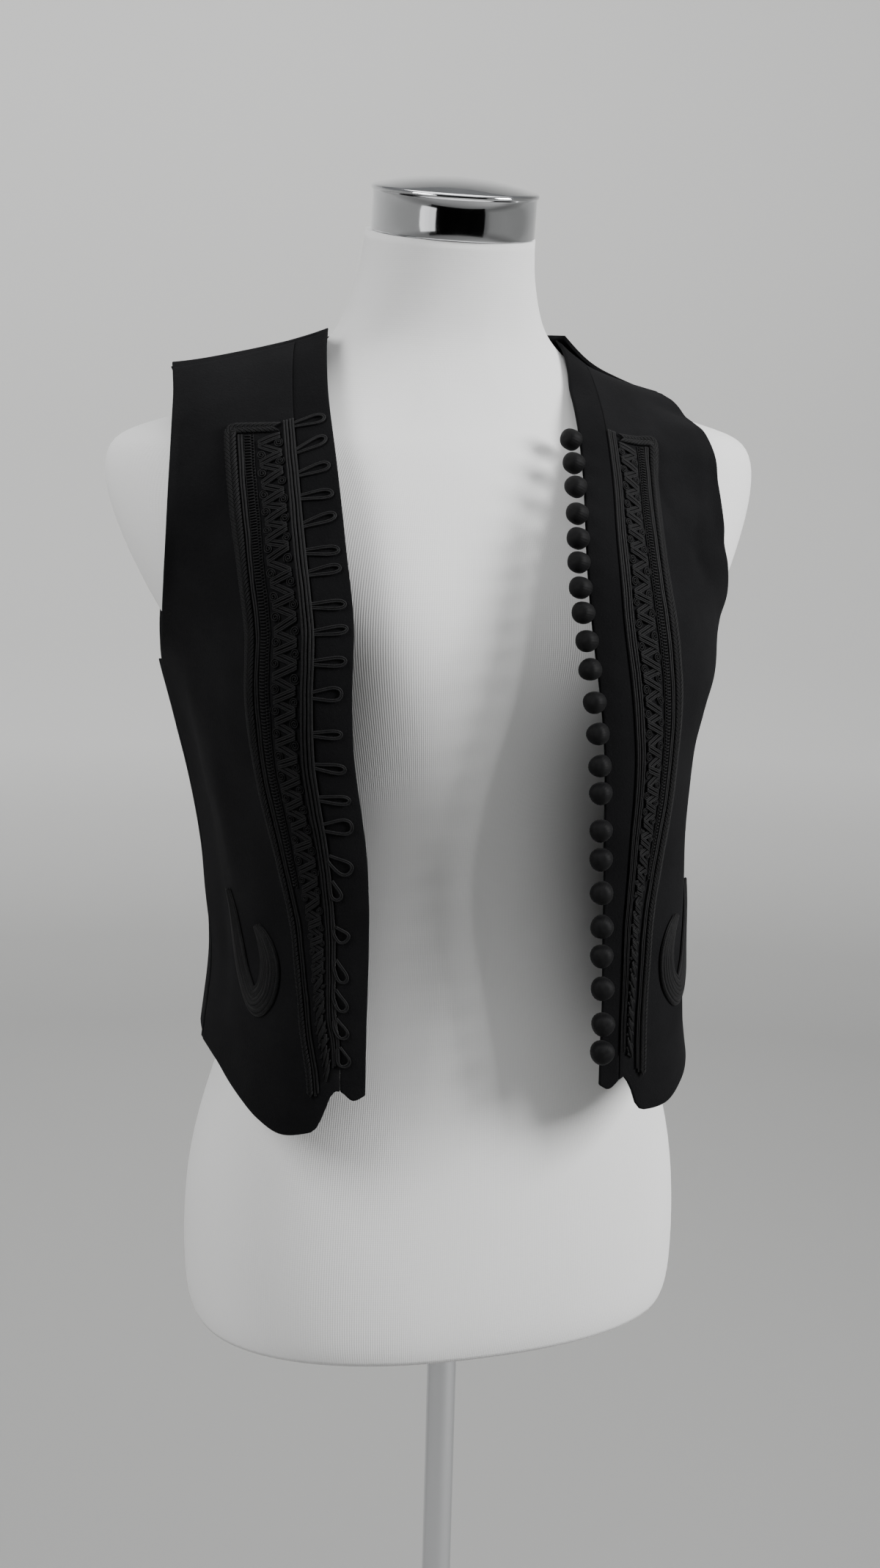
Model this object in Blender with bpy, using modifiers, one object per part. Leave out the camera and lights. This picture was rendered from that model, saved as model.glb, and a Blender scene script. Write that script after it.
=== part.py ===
"""A black fulled-wool folk vest, worn open on a limbless dress form on a pole stand.

The front faces -Y, the wearer's left is +X and up is +Z. The origin is the middle of the underside of
the stand's round base, on the pole's axis. The tables are in millimetres and the solids in metres.
"""

import math

import bmesh
import bpy
import numpy as np
from mathutils import Vector
from mathutils.bvhtree import BVHTree

MM = 0.001

# The seams and the pieces that lie on each other are this far apart.
SEAM_GAP = 0.3
# The trims lie this far off the cloth.
TRIM_GAP = 0.6

# The fulled wool is a stiff cloth, a little over 2 mm thick.
CLOTH = 2.4
# The cloth's inner face stays this far out from the dress form, or a little less between its points.
FRONT_CLEARANCE = 1.9
BACK_CLEARANCE = 2.3
BETWEEN_POINTS = 0.3
# Each round of moving the cloth's points out brings them nearer to that.
CLEARING_STEPS = 6
SETTLING_STEPS = 5

# The stand.
BASE_RADIUS = 190.0
BASE_THICKNESS = 8.0
BASE_DOME = 5.0
SOCKET_RADIUS = 17.0
SOCKET_HEIGHT = 34.0
POLE_RADIUS = 9.5
SOCKET_DEPTH = 10.0
SOCKET_BEVEL = 1.5
CAP_BAND = 26.5
CAP_RADIUS = 51.0
CAP_DOME = 7.0
CAP_BEAD = 1.2
CAP_CENTRE = 36.0

# The neck leans forward by this much at its top.
NECK_TILT = math.radians(7.5)
NECK_TILT_FROM = 1335.0

# The dress form, a row for each level. Side is the depth of its widest point.
FORM_COLUMNS = ("height", "half_width", "side", "front", "back", "fullness")
FORM_ROWS = (
    (735, 157, 28, -80, 135, 2.30),
    (746, 162, 28, -84, 140, 2.30),
    (790, 164, 29, -85, 144, 2.25),
    (840, 161, 29, -81, 142, 2.20),
    (888, 148, 29, -77, 133, 2.15),
    (930, 134, 28, -73, 121, 2.10),
    (975, 124, 27, -66, 108, 2.10),
    (1020, 120, 26, -61, 101, 2.10),
    (1065, 124, 26, -64, 104, 2.10),
    (1110, 136, 28, -74, 112, 2.15),
    (1150, 154, 32, -83, 122, 2.15),
    (1182, 176, 38, -86, 132, 2.05),
    (1215, 194, 42, -83, 139, 1.95),
    (1250, 209, 45, -73, 143, 1.85),
    (1276, 214, 46, -60, 142, 1.75),
    (1292, 208, 46, -50, 140, 1.70),
    (1299, 191, 46, -43, 138, 1.70),
    (1305, 168, 46, -38, 135, 1.75),
    (1316, 134, 47, -30, 131, 1.80),
    (1331, 98, 49, -20, 125, 1.90),
    (1352, 69.5, 52, -9, 115, 2.00),
    (1376, 58.5, 49, -7, 105, 2.00),
    (1396, 53.3, 44, -8.5, 97, 2.00),
    (1416, 52, 40, -12, 92, 2.00),
)
FORM_SIDES = 40
# Where the shoulders rise into the neck the levels are closer.
NECK_LEVELS = (1323.0, 1341.0, 1363.0)
# The form's soft bust: how far to each side, how high, how proud and how broad.
BUST_SIDE = 78.0
BUST_HEIGHT = 1190.0
BUST_DEPTH = 16.0
BUST_BREADTH = 40.0
BUST_LENGTH = 46.0

# Each front, a row for each section from its front edge to its armhole or side seam. The turns are
# the section's directions at its two ends, and parts says into how many the stretch below is cut.
FRONT_COLUMNS = (
    "side_x", "side_y", "side_z", "edge_x", "edge_y", "edge_z", "side_turn", "edge_turn", "parts",
)
FRONT_RIGHT_ROWS = (
    (174, 32, 1331, 80, 28, 1354, 90, 0, 3),
    (177, 16, 1316, 87, 6, 1342, 80, 0, 3),
    (184, -8, 1290, 95, -26, 1318, 70, 5, 3),
    (190, -26, 1252, 101, -66, 1280, 60, 10, 3),
    (191, -24, 1215, 104, -95, 1236, 45, 5, 2),
    (187, -6, 1184, 103, -107, 1196, 25, 0, 2),
    (180, 22, 1162, 104, -109, 1160, 10, 0, 2),
    (169, 24, 1120, 101, -107, 1118, 5, 0, 2),
    (157, 26, 1070, 92.5, -104, 1070, 0, 0, 2),
    (150, 28, 1020, 89, -102, 1020, 0, 0, 2),
    (146.5, 29, 975, 89.5, -102, 975, 0, 0, 3),
    (152, 29, 920, 89.5, -102, 922, 0, 0, 0),
)
FRONT_LEFT_ROWS = (
    (144, 38, 1320, 65, 34, 1346, 90, 0, 3),
    (148, 20, 1312, 63, 10, 1338, 80, 0, 3),
    (150.5, -2, 1289, 56, -28, 1316, 70, 5, 3),
    (149.5, -20, 1256, 47, -66, 1284, 60, 8, 3),
    (156, -24, 1220, 38, -97, 1244, 46, 5, 2),
    (169, -4, 1186, 36.5, -112, 1202, 28, 0, 2),
    (174, 22, 1150, 41, -118, 1160, 17, 0, 2),
    (155, 24, 1112, 45, -121, 1118, 14, 0, 2),
    (145, 26, 1062, 46.5, -121, 1070, 11, 0, 2),
    (144.5, 28, 1015, 48, -121, 1020, 10, 0, 2),
    (149, 29, 970, 49.5, -121, 975, 9, 0, 3),
    (158, 29, 918, 50, -120, 922, 9, 0, 0),
)
# The right and left shoulders dip by this much between the neck and the armhole, down to this section.
SHOULDER_DIPS = (2.5, 2.0)
DIP_TO = 1.5
# The share of a section's breadth that its two ends pull it straight.
HANDLE_REACH = 0.4
# The band's seam is this column of the fronts' points.
SEAM_COLUMN = 2
# The rows from which the side seam runs down, and from which the rows fan out to the hem.
UNDERARM_ROW = 6
HEM_FROM_ROW = 9

# The lines of trim along each front, as distances from the front edge at each height.
TRIM_COLUMNS = ("height", "seam", "pair", "zigzag", "ladder", "soutache", "plait")
TRIM_RIGHT_ROWS = (
    (925, 14.5, 18.8, 23.2, 24.8, 27.6, 31.8),
    (958, 15.6, 19.8, 25.6, 27.2, 30.0, 34.0),
    (980, 18.0, 22.4, 29.5, 31.3, 34.0, 38.0),
    (1030, 19.5, 24.5, 36.5, 39.3, 42.0, 46.2),
    (1062, 21.0, 26.6, 41.0, 45.3, 48.2, 53.2),
    (1100, 21.8, 28.5, 43.8, 49.3, 52.3, 58.5),
    (1160, 21.5, 28.0, 45.7, 52.0, 54.8, 62.5),
    (1240, 21.5, 28.0, 45.0, 51.5, 54.5, 62.5),
    (1356, 20.0, 26.5, 42.0, 48.0, 51.0, 58.5),
)
TRIM_LEFT_ROWS = (
    (925, 12.5, 16.0, 22.2, 23.6, 26.2, 31.5),
    (978, 11.8, 15.4, 21.5, 22.9, 25.4, 30.5),
    (1020, 13.2, 17.2, 24.5, 26.0, 28.7, 34.0),
    (1062, 16.2, 20.8, 31.5, 34.3, 37.3, 43.8),
    (1100, 19.0, 24.5, 38.0, 42.5, 45.6, 52.3),
    (1160, 20.5, 26.5, 43.5, 49.5, 52.6, 60.3),
    (1240, 20.5, 26.5, 43.0, 49.5, 52.6, 60.3),
    (1356, 19.0, 25.0, 40.0, 45.5, 48.5, 56.0),
)
PLAIN_PARTS = 7
# The right and left trims start at these sections of their fronts and end at this one, above the hem.
TRIM_TOPS = (2.2, 2.35)
TRIM_END = 10.67
LADDER_END = 8.5
# The trims' top line rises from the pair to the plait by this much, which fades to nothing lower down.
TOP_SLANTS = (0.24, 0.11)
SLANT_END = 3.2
# Down the front near the trim's top, one section to the next is about this far.
TOP_SECTION_LENGTH = 52.0
PLAIT_TOP_BREADTH = 8.0
# The plait's three lines round its corner, as shares of its breadth.
CORNER_SHARES = (0.12, 0.56, 1.0)

# The hem's height at distances from the front edge: the tab, the notch and the round lobe.
HEM_COLUMNS = ("from_edge", "height")
HEM_ROWS = (
    (0, 922),
    (4, 919),
    (8, 919.5),
    (14.5, 925),
    (18.8, 924.5),
    (23, 914),
    (27, 905),
    (32, 901.5),
    (42, 898.7),
    (57.5, 901.3),
    (73.5, 906),
    (93.5, 911),
    (115, 914),
    (155, 920),
)

# The wearer's right lobe hangs lower by this much, from and over these distances from the edge.
RIGHT_LOBE_DROP = 6.3
LOBE_FROM = 14.0
LOBE_BREADTH = 110.0

# The back, a row for each section like the fronts'. Its armhole edges are the first rows' sides, and
# from the underarm down its sides follow the fronts' side seams.
BACK_COLUMNS = (
    "right_x", "right_y", "right_z", "left_x", "left_y", "left_z", "centre_y", "centre_z", "neckline",
)
BACK_ROWS = (
    (174, 33, 1331, 144, 39, 1320, 126, 1345, 1.0),
    (160, 58, 1324, 143, 64, 1315, 137, 1332, 0.3),
    (148, 93, 1306, 142, 102, 1291, 143, 1310, 0.0),
    (150, 109, 1262, 146, 113, 1253, 148, 1274, 0.0),
    (158, 100, 1219, 154, 102, 1216, 148, 1232, 0.0),
    (168, 82, 1186, 165, 80, 1186, 144, 1200, 0.0),
    (180, 22, 1162, 174, 22, 1150, 141, 1165, 0.0),
    (169, 24, 1120, 161, 24, 1112, 136, 1120, 0.0),
    (157, 26, 1070, 150, 26, 1062, 132, 1070, 0.0),
    (150, 28, 1020, 149, 28, 1015, 131, 1020, 0.0),
    (148, 29, 975, 153, 29, 970, 133, 975, 0.0),
    (152, 29, 924, 158, 29, 922, 137, 930, 0.0),
)
BACK_FULLNESS = 2.3

# The soft folds, a row for each. On the fronts across is the distance from the front edge, and on the
# back from the wearer's right side. Places are counted in sections, and a negative rise is a hollow.
FOLD_COLUMNS = ("across_1", "place_1", "across_2", "place_2", "rise", "half_width")
FOLD_ROWS = {
    "right": ((126, 5.9, 84, 9.2, 3.0, 15), (150, 6.6, 118, 10.6, -2.0, 16), (95, 1.2, 112, 4.6, -1.8, 18)),
    "left": ((92, 6.2, 78, 10.4, 2.2, 15), (118, 1.0, 104, 4.8, -1.8, 18), (125, 6.8, 112, 10.8, -2.0, 16)),
    "back": (
        (70, 5.6, 78, 10.6, 3.0, 22), (112, 4.4, 118, 10.8, -2.5, 20), (168, 2.2, 165, 8.6, -2.0, 24),
        (222, 4.8, 214, 10.7, -2.5, 20), (262, 5.9, 252, 10.4, 3.0, 22),
    ),
}
SECTION_LENGTH = 44.0
# A fold keeps some of its rise at its two ends.
FOLD_END = 0.08
BACK_BREADTH = 330.0
# The share of the back's breadth where the neckline starts and ends, and the parts of each stretch.
NECK_FROM = 0.294
NECK_TO = 0.75
SHOULDER_PARTS = 5
NECK_PARTS = 8
END_CROWDING = 1.7
# How far the neckline goes back and down behind the neck, and the gap along the shoulder seams.
NECKLINE_DEPTH = 92.0
NECKLINE_DROP = 5.0
SHOULDER_GAP = 0.6

# The horn-shaped motif on each front, a row for each place along its middle from the pointed tip.
HORN_COLUMNS = ("from_edge", "height", "breadth")
HORN_ROWS = (
    (105, 1032, 3),
    (101, 1018, 10),
    (96.5, 1000, 15),
    (89.5, 982, 16.5),
    (77, 969, 16.5),
    (64.5, 977, 15.5),
    (60.5, 993, 15),
    (64.5, 1007, 12),
    (72, 1017, 5),
)
# The left front's motif is nearer to the front edge by this much.
HORN_LEFT_SHIFT = 10.0
HORN_PARTS = 3
HORN_RISE = 2.4
HORN_GAP = 1.3

# The cord loops on the wearer's right: the height of a loop's root, how steeply it rises towards the
# edge in degrees, its length, and how far its strands bow to each side.
LOOP_COLUMNS = ("height", "rise", "length", "bow")
LOOP_ROWS = (
    (1301, 15, 18.5, 2.0),
    (1287, 24, 19.0, 2.0),
    (1275, 18, 18.5, 2.0),
    (1263, 10, 18.0, 2.0),
    (1248.6, 19, 19.0, 2.0),
    (1235, 5, 18.0, 2.0),
    (1223.7, 12, 18.0, 2.0),
    (1207, 5, 18.0, 2.0),
    (1193, 8, 18.0, 2.0),
    (1177, 3, 17.5, 2.3),
    (1159, 4, 16.0, 3.6),
    (1137, 0, 15.5, 2.1),
    (1119, -8, 16.5, 2.4),
    (1100, -4, 16.5, 2.3),
    (1083, 3, 15.5, 4.2),
    (1065, -34, 14.5, 4.0),
    (1051, -68, 11.5, 2.7),
    (1023, -46, 10.0, 3.4),
    (1004, -64, 14.5, 2.7),
    (986, -62, 13.5, 2.7),
    (969, -61, 12.5, 2.8),
    (952, -66, 12.0, 3.1),
)
LOOP_CORD = 0.95
# The places along a loop, as shares of its length, and how far each strand bows there.
LOOP_SHAPE = ((0.0, 0.45), (0.3, 0.7), (0.7, 1.0), (0.92, 0.75), (1.0, 0.0))
LOOP_ROOT = 0.9

# The buttons' heights on the wearer's left, and how far their axes turn from the cloth to the front.
BUTTON_HEIGHTS = (
    1294.0, 1281.2, 1268.4, 1254.2, 1241.4, 1228.6, 1215.0, 1201.6, 1186.4, 1170.6, 1152.0,
    1134.5, 1116.2, 1100.4, 1078.5, 1061.3, 1041.6, 1021.6, 1003.4, 983.4, 961.8, 944.2,
)
BUTTON_TURNS = (math.radians(12), math.radians(72))
# The lowest button is larger than the highest by this share.
BUTTON_GROWTH = 0.1
BUTTON_PROFILE = ((0, 14.0), (5.0, 12.6), (6.6, 9.2), (6.5, 5.2), (5.2, 2.6), (1.9, 1.5), (1.6, 0), (0, 0))
# How far a button's neck stays off the corner of the cloth's edge.
NECK_GAP = 0.45
BUTTON_SIDES = 8

# The trims stand this far off the cloth.
PLAIT_RISE = 2.4
SOUTACHE_RISE = 1.6
LADDER_RISE = 1.3
ZIGZAG_RISE = 2.0


def named_columns(columns, rows):
    """The table's columns by name, as arrays."""
    return dict(zip(columns, np.array(rows, float).T))


def slope_at(xs, ys, i):
    """The slope of a table's curve at one of its points."""
    before, after = max(i - 1, 0), min(i + 1, len(xs) - 1)
    return (ys[after] - ys[before]) / (xs[after] - xs[before])


def eased(xs, ys, x):
    """The smooth curve through the points of a table, read at x."""
    i = min(max(int(np.searchsorted(xs, x)) - 1, 0), len(xs) - 2)
    step = xs[i + 1] - xs[i]
    t = min(max((x - xs[i]) / step, 0.0), 1.0)
    start = (1 + 2 * t) * (1 - t) ** 2 * ys[i] + t * (1 - t) ** 2 * step * slope_at(xs, ys, i)
    end = t * t * (3 - 2 * t) * ys[i + 1] + t * t * (t - 1) * step * slope_at(xs, ys, i + 1)
    return start + end


FORM = named_columns(FORM_COLUMNS, FORM_ROWS)
TRIMS = {-1: named_columns(TRIM_COLUMNS, TRIM_RIGHT_ROWS), 1: named_columns(TRIM_COLUMNS, TRIM_LEFT_ROWS)}
HEM = named_columns(HEM_COLUMNS, HEM_ROWS)


def form_level(height):
    """The dress form's sizes at a height."""
    return {name: eased(FORM["height"], FORM[name], height) for name in FORM_COLUMNS[1:]}


def bust(x, z):
    """How far the bust stands proud of the form's plain front."""
    off = (abs(x) - BUST_SIDE) / BUST_BREADTH
    up = (z - BUST_HEIGHT) / BUST_LENGTH
    return BUST_DEPTH * math.exp(-off * off - up * up)


def form_gap(point):
    """How far a point stands out from the dress form, and the way out."""
    nearest, normal, _, distance = form_tree.find_nearest(Vector(point))
    way = Vector(point) - nearest
    inside = way.dot(normal) < 0
    out = -way if inside else way
    if distance < 0.01:
        out = normal
    return (-distance if inside else distance), np.array(out.normalized())


def clear_of_form(point, clearance):
    """The point itself, or where it is moved straight out to stay clear of the dress form."""
    for _ in range(CLEARING_STEPS):
        gap, out = form_gap(point)
        if gap >= clearance:
            break
        point = point + out * (clearance - gap)
    return point


def settled(grid, clearance):
    """Moves the corners of a grid's cells out until the middles of the cells are clear as well."""
    grid = np.array(grid)
    for _ in range(SETTLING_STEPS):
        needs = np.zeros(grid.shape[:2])
        for row in range(grid.shape[0] - 1):
            for column in range(grid.shape[1] - 1):
                cell = grid[row : row + 2, column : column + 2]
                halves = [cell[0], cell[1], cell[:, 0], cell[:, 1], cell.reshape(4, 3)]
                gap = min(form_gap(points.mean(axis=0))[0] for points in halves)
                corners = needs[row : row + 2, column : column + 2]
                np.maximum(corners, clearance - BETWEEN_POINTS - gap, out=corners)
        for row, column in zip(*np.nonzero(needs)):
            grid[row, column] += form_gap(grid[row, column])[1] * needs[row, column]
    return grid


def finish(name, colour, roughness, metallic=0.0):
    """A plain material with the piece's colour."""
    material = bpy.data.materials.new(name)
    material.use_nodes = True
    shader = material.node_tree.nodes["Principled BSDF"]
    shader.inputs["Base Color"].default_value = (*colour, 1)
    shader.inputs["Roughness"].default_value = roughness
    shader.inputs["Metallic"].default_value = metallic
    material.diffuse_color = (*colour, 1)
    return material


def mesh_object(name, points, faces, material):
    """An object in the vest's collection from points in millimetres."""
    mesh = bpy.data.meshes.new(name)
    mesh.from_pydata([Vector(p) * MM for p in points], [], faces)
    mesh.materials.append(material)
    obj = bpy.data.objects.new(name, mesh)
    collection.objects.link(obj)
    return obj


def grid_faces(rows, columns, flip):
    """The faces of a grid of points, turned to face out."""
    faces = []
    for row in range(rows - 1):
        for column in range(columns - 1):
            a = row * columns + column
            quad = (a, a + columns, a + columns + 1, a + 1)
            faces.append(quad[::-1] if flip else quad)
    return faces


def thicken(obj, thickness, weights=None):
    """Gives an open sheet its thickness outwards, thinner at its sides where weights say so."""
    solid = obj.modifiers.new("thickness", "SOLIDIFY")
    solid.thickness = thickness * MM
    solid.offset = 1
    solid.use_even_offset = False
    if weights is not None:
        group = obj.vertex_groups.new(name="height")
        for index, weight in enumerate(weights):
            group.add([index], weight, "REPLACE")
        solid.vertex_group = group.name


# The scene, the collection and the materials.
for old in list(bpy.data.objects):
    bpy.data.objects.remove(old)
collection = bpy.data.collections.new("wool vest on a dress form")
bpy.context.scene.collection.children.link(collection)

cutters = bpy.data.collections.new("cutters")
bpy.context.scene.collection.children.link(cutters)

wool = finish("black fulled wool", (0.008, 0.008, 0.009), 0.95)
band_wool = finish("black wool band", (0.006, 0.006, 0.007), 0.95)
braid = finish("black silk braid", (0.016, 0.016, 0.017), 0.6)
thread = finish("black button thread", (0.02, 0.02, 0.021), 0.55)
jersey = finish("white jersey", (0.72, 0.72, 0.71), 0.85)
chrome = finish("polished chrome", (0.78, 0.78, 0.8), 0.06, 1.0)
steel = finish("brushed steel", (0.5, 0.5, 0.51), 0.3, 1.0)


# The dress form: one closed loft of level rings, tilted at the neck.
def form_ring(height):
    level = form_level(height)
    ring = []
    lean = np.clip((height - NECK_TILT_FROM) / (FORM["height"][-1] - NECK_TILT_FROM), 0, 1)
    for i in range(FORM_SIDES):
        turn = 2 * math.pi * i / FORM_SIDES
        sine, cosine = math.sin(turn), math.cos(turn)
        power = 2 / level["fullness"]
        x = level["half_width"] * math.copysign(abs(sine) ** power, sine)
        depth = level["back"] - level["side"] if cosine < 0 else level["side"] - level["front"]
        if cosine > 0:
            depth += bust(x, height)
        y = level["side"] - depth * math.copysign(abs(cosine) ** power, cosine)
        ring.append((x, y, height + lean * math.tan(NECK_TILT) * (y - level["side"])))
    return ring


def make_dress_form():
    """The dress form, and its mesh as a tree from which gaps to it are measured."""
    heights = sorted([*FORM["height"], *NECK_LEVELS])
    rings = [form_ring(height) for height in heights]
    points = [p for ring in rings for p in ring]
    faces = []
    for r in range(len(rings) - 1):
        for i in range(FORM_SIDES):
            a = r * FORM_SIDES + i
            b = r * FORM_SIDES + (i + 1) % FORM_SIDES
            faces.append((a, b, b + FORM_SIDES, a + FORM_SIDES))
    faces.append(tuple(reversed(range(FORM_SIDES))))
    top = (len(rings) - 1) * FORM_SIDES
    faces.append(tuple(range(top, top + FORM_SIDES)))
    obj = mesh_object("dress_form", points, faces, jersey)
    obj.data.shade_smooth()
    return BVHTree.FromPolygons([Vector(p) for p in points], faces)


def turned(name, profile, material, steps=32):
    """A turned solid from its profile, a list of (radius, height) from the top down."""
    mesh = bpy.data.meshes.new(name)
    edges = [(i, i + 1) for i in range(len(profile) - 1)]
    mesh.from_pydata([(r * MM, 0, z * MM) for r, z in profile], edges, [])
    mesh.materials.append(material)
    obj = bpy.data.objects.new(name, mesh)
    collection.objects.link(obj)
    screw = obj.modifiers.new("turn", "SCREW")
    screw.steps = steps
    screw.render_steps = steps
    screw.use_merge_vertices = True
    screw.merge_threshold = 1e-5
    return obj


def make_stand():
    base_top = BASE_THICKNESS + BASE_DOME
    turned(
        "stand_base",
        [
            (0, base_top + SOCKET_HEIGHT - SOCKET_DEPTH),
            (POLE_RADIUS + SEAM_GAP, base_top + SOCKET_HEIGHT - SOCKET_DEPTH),
            (POLE_RADIUS + SEAM_GAP, base_top + SOCKET_HEIGHT),
            (SOCKET_RADIUS - SOCKET_BEVEL, base_top + SOCKET_HEIGHT),
            (SOCKET_RADIUS, base_top + SOCKET_HEIGHT - SOCKET_BEVEL),
            (SOCKET_RADIUS, base_top),
            (BASE_RADIUS * 0.6, base_top - 1.6),
            (BASE_RADIUS - 4, BASE_THICKNESS),
            (BASE_RADIUS, BASE_THICKNESS - 3),
            (BASE_RADIUS, 0),
            (0, 0),
        ],
        steel,
        48,
    )
    pole_foot = base_top + SOCKET_HEIGHT - SOCKET_DEPTH + SEAM_GAP
    pole_top = FORM["height"][0] - SEAM_GAP
    bpy.ops.mesh.primitive_cylinder_add(
        vertices=24,
        radius=POLE_RADIUS * MM,
        depth=(pole_top - pole_foot) * MM,
        location=(0, 0, (pole_top + pole_foot) / 2 * MM),
    )
    pole = bpy.context.object
    pole.name = "stand_pole"
    pole.data.name = "stand_pole"
    pole.data.materials.append(steel)
    for owner in list(pole.users_collection):
        owner.objects.unlink(pole)
    collection.objects.link(pole)


def make_neck_cap():
    """The chrome cap lies on the neck's tilted top."""
    cap = turned(
        "neck_cap",
        [
            (0, CAP_BAND + CAP_DOME),
            (CAP_RADIUS * 0.35, CAP_BAND + CAP_DOME - 0.8),
            (CAP_RADIUS * 0.7, CAP_BAND + CAP_DOME - 3.2),
            (CAP_RADIUS - 3, CAP_BAND + 1),
            (CAP_RADIUS, CAP_BAND - 0.5),
            (CAP_RADIUS, CAP_BAND - 2),
            (CAP_RADIUS - CAP_BEAD, CAP_BAND - 3),
            (CAP_RADIUS - CAP_BEAD, 0),
            (0, 0),
        ],
        chrome,
        40,
    )
    neck_top = FORM_ROWS[-1]
    lean = math.tan(NECK_TILT) * (CAP_CENTRE - neck_top[2])
    cap.location = Vector((0, CAP_CENTRE, neck_top[0] + lean + SEAM_GAP)) * MM
    cap.rotation_euler = (NECK_TILT, 0, 0)


# The fronts.
def section(row):
    """Points of a section from its front edge to its side, close together."""
    edge = np.array([row["edge_x"], row["edge_y"], 0.0])
    side = np.array([row["side_x"], row["side_y"], 0.0])
    reach = HANDLE_REACH * np.linalg.norm(side - edge)
    edge_turn, side_turn = math.radians(row["edge_turn"]), math.radians(row["side_turn"])
    edge_handle = edge + reach * np.array([math.cos(edge_turn), math.sin(edge_turn), 0])
    side_handle = side - reach * np.array([math.sin(side_turn), math.cos(side_turn), 0])
    points = []
    for t in np.linspace(0, 1, 80):
        point = (1 - t) ** 3 * edge + 3 * (1 - t) ** 2 * t * edge_handle
        point = point + 3 * (1 - t) * t * t * side_handle + t**3 * side
        points.append(point)
    return np.array(points)


def fine_places(rows):
    """The places of the fine rows, counted in sections from the top."""
    places = [0.0]
    for index, row in enumerate(rows[:-1]):
        parts = row[-1]
        places += [index + (k + 1) / parts for k in range(parts)]
    return places


def fold_rise(folds, across, place):
    """How far the folds lift the cloth at a place."""
    point = np.array([across, place * SECTION_LENGTH])
    rise = 0.0
    for across_1, place_1, across_2, place_2, height, half_width in folds:
        start = np.array([across_1, place_1 * SECTION_LENGTH])
        run = np.array([across_2, place_2 * SECTION_LENGTH]) - start
        along = min(max((point - start).dot(run) / run.dot(run), 0.0), 1.0)
        off = np.linalg.norm(point - start - run * along) / half_width
        ends = math.sin(math.pi * (FOLD_END + (1 - 2 * FOLD_END) * along))
        rise += height * ends * math.exp(-off * off)
    return rise


def outward_ways(points, sign):
    """The unit vectors out of a grid of points, sign being 1 where its columns run to the left."""
    down = np.gradient(points, axis=0)
    along = np.gradient(points, axis=1)
    out = np.cross(along, down) * -sign
    return out / np.linalg.norm(out, axis=2)[:, :, None]


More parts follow.
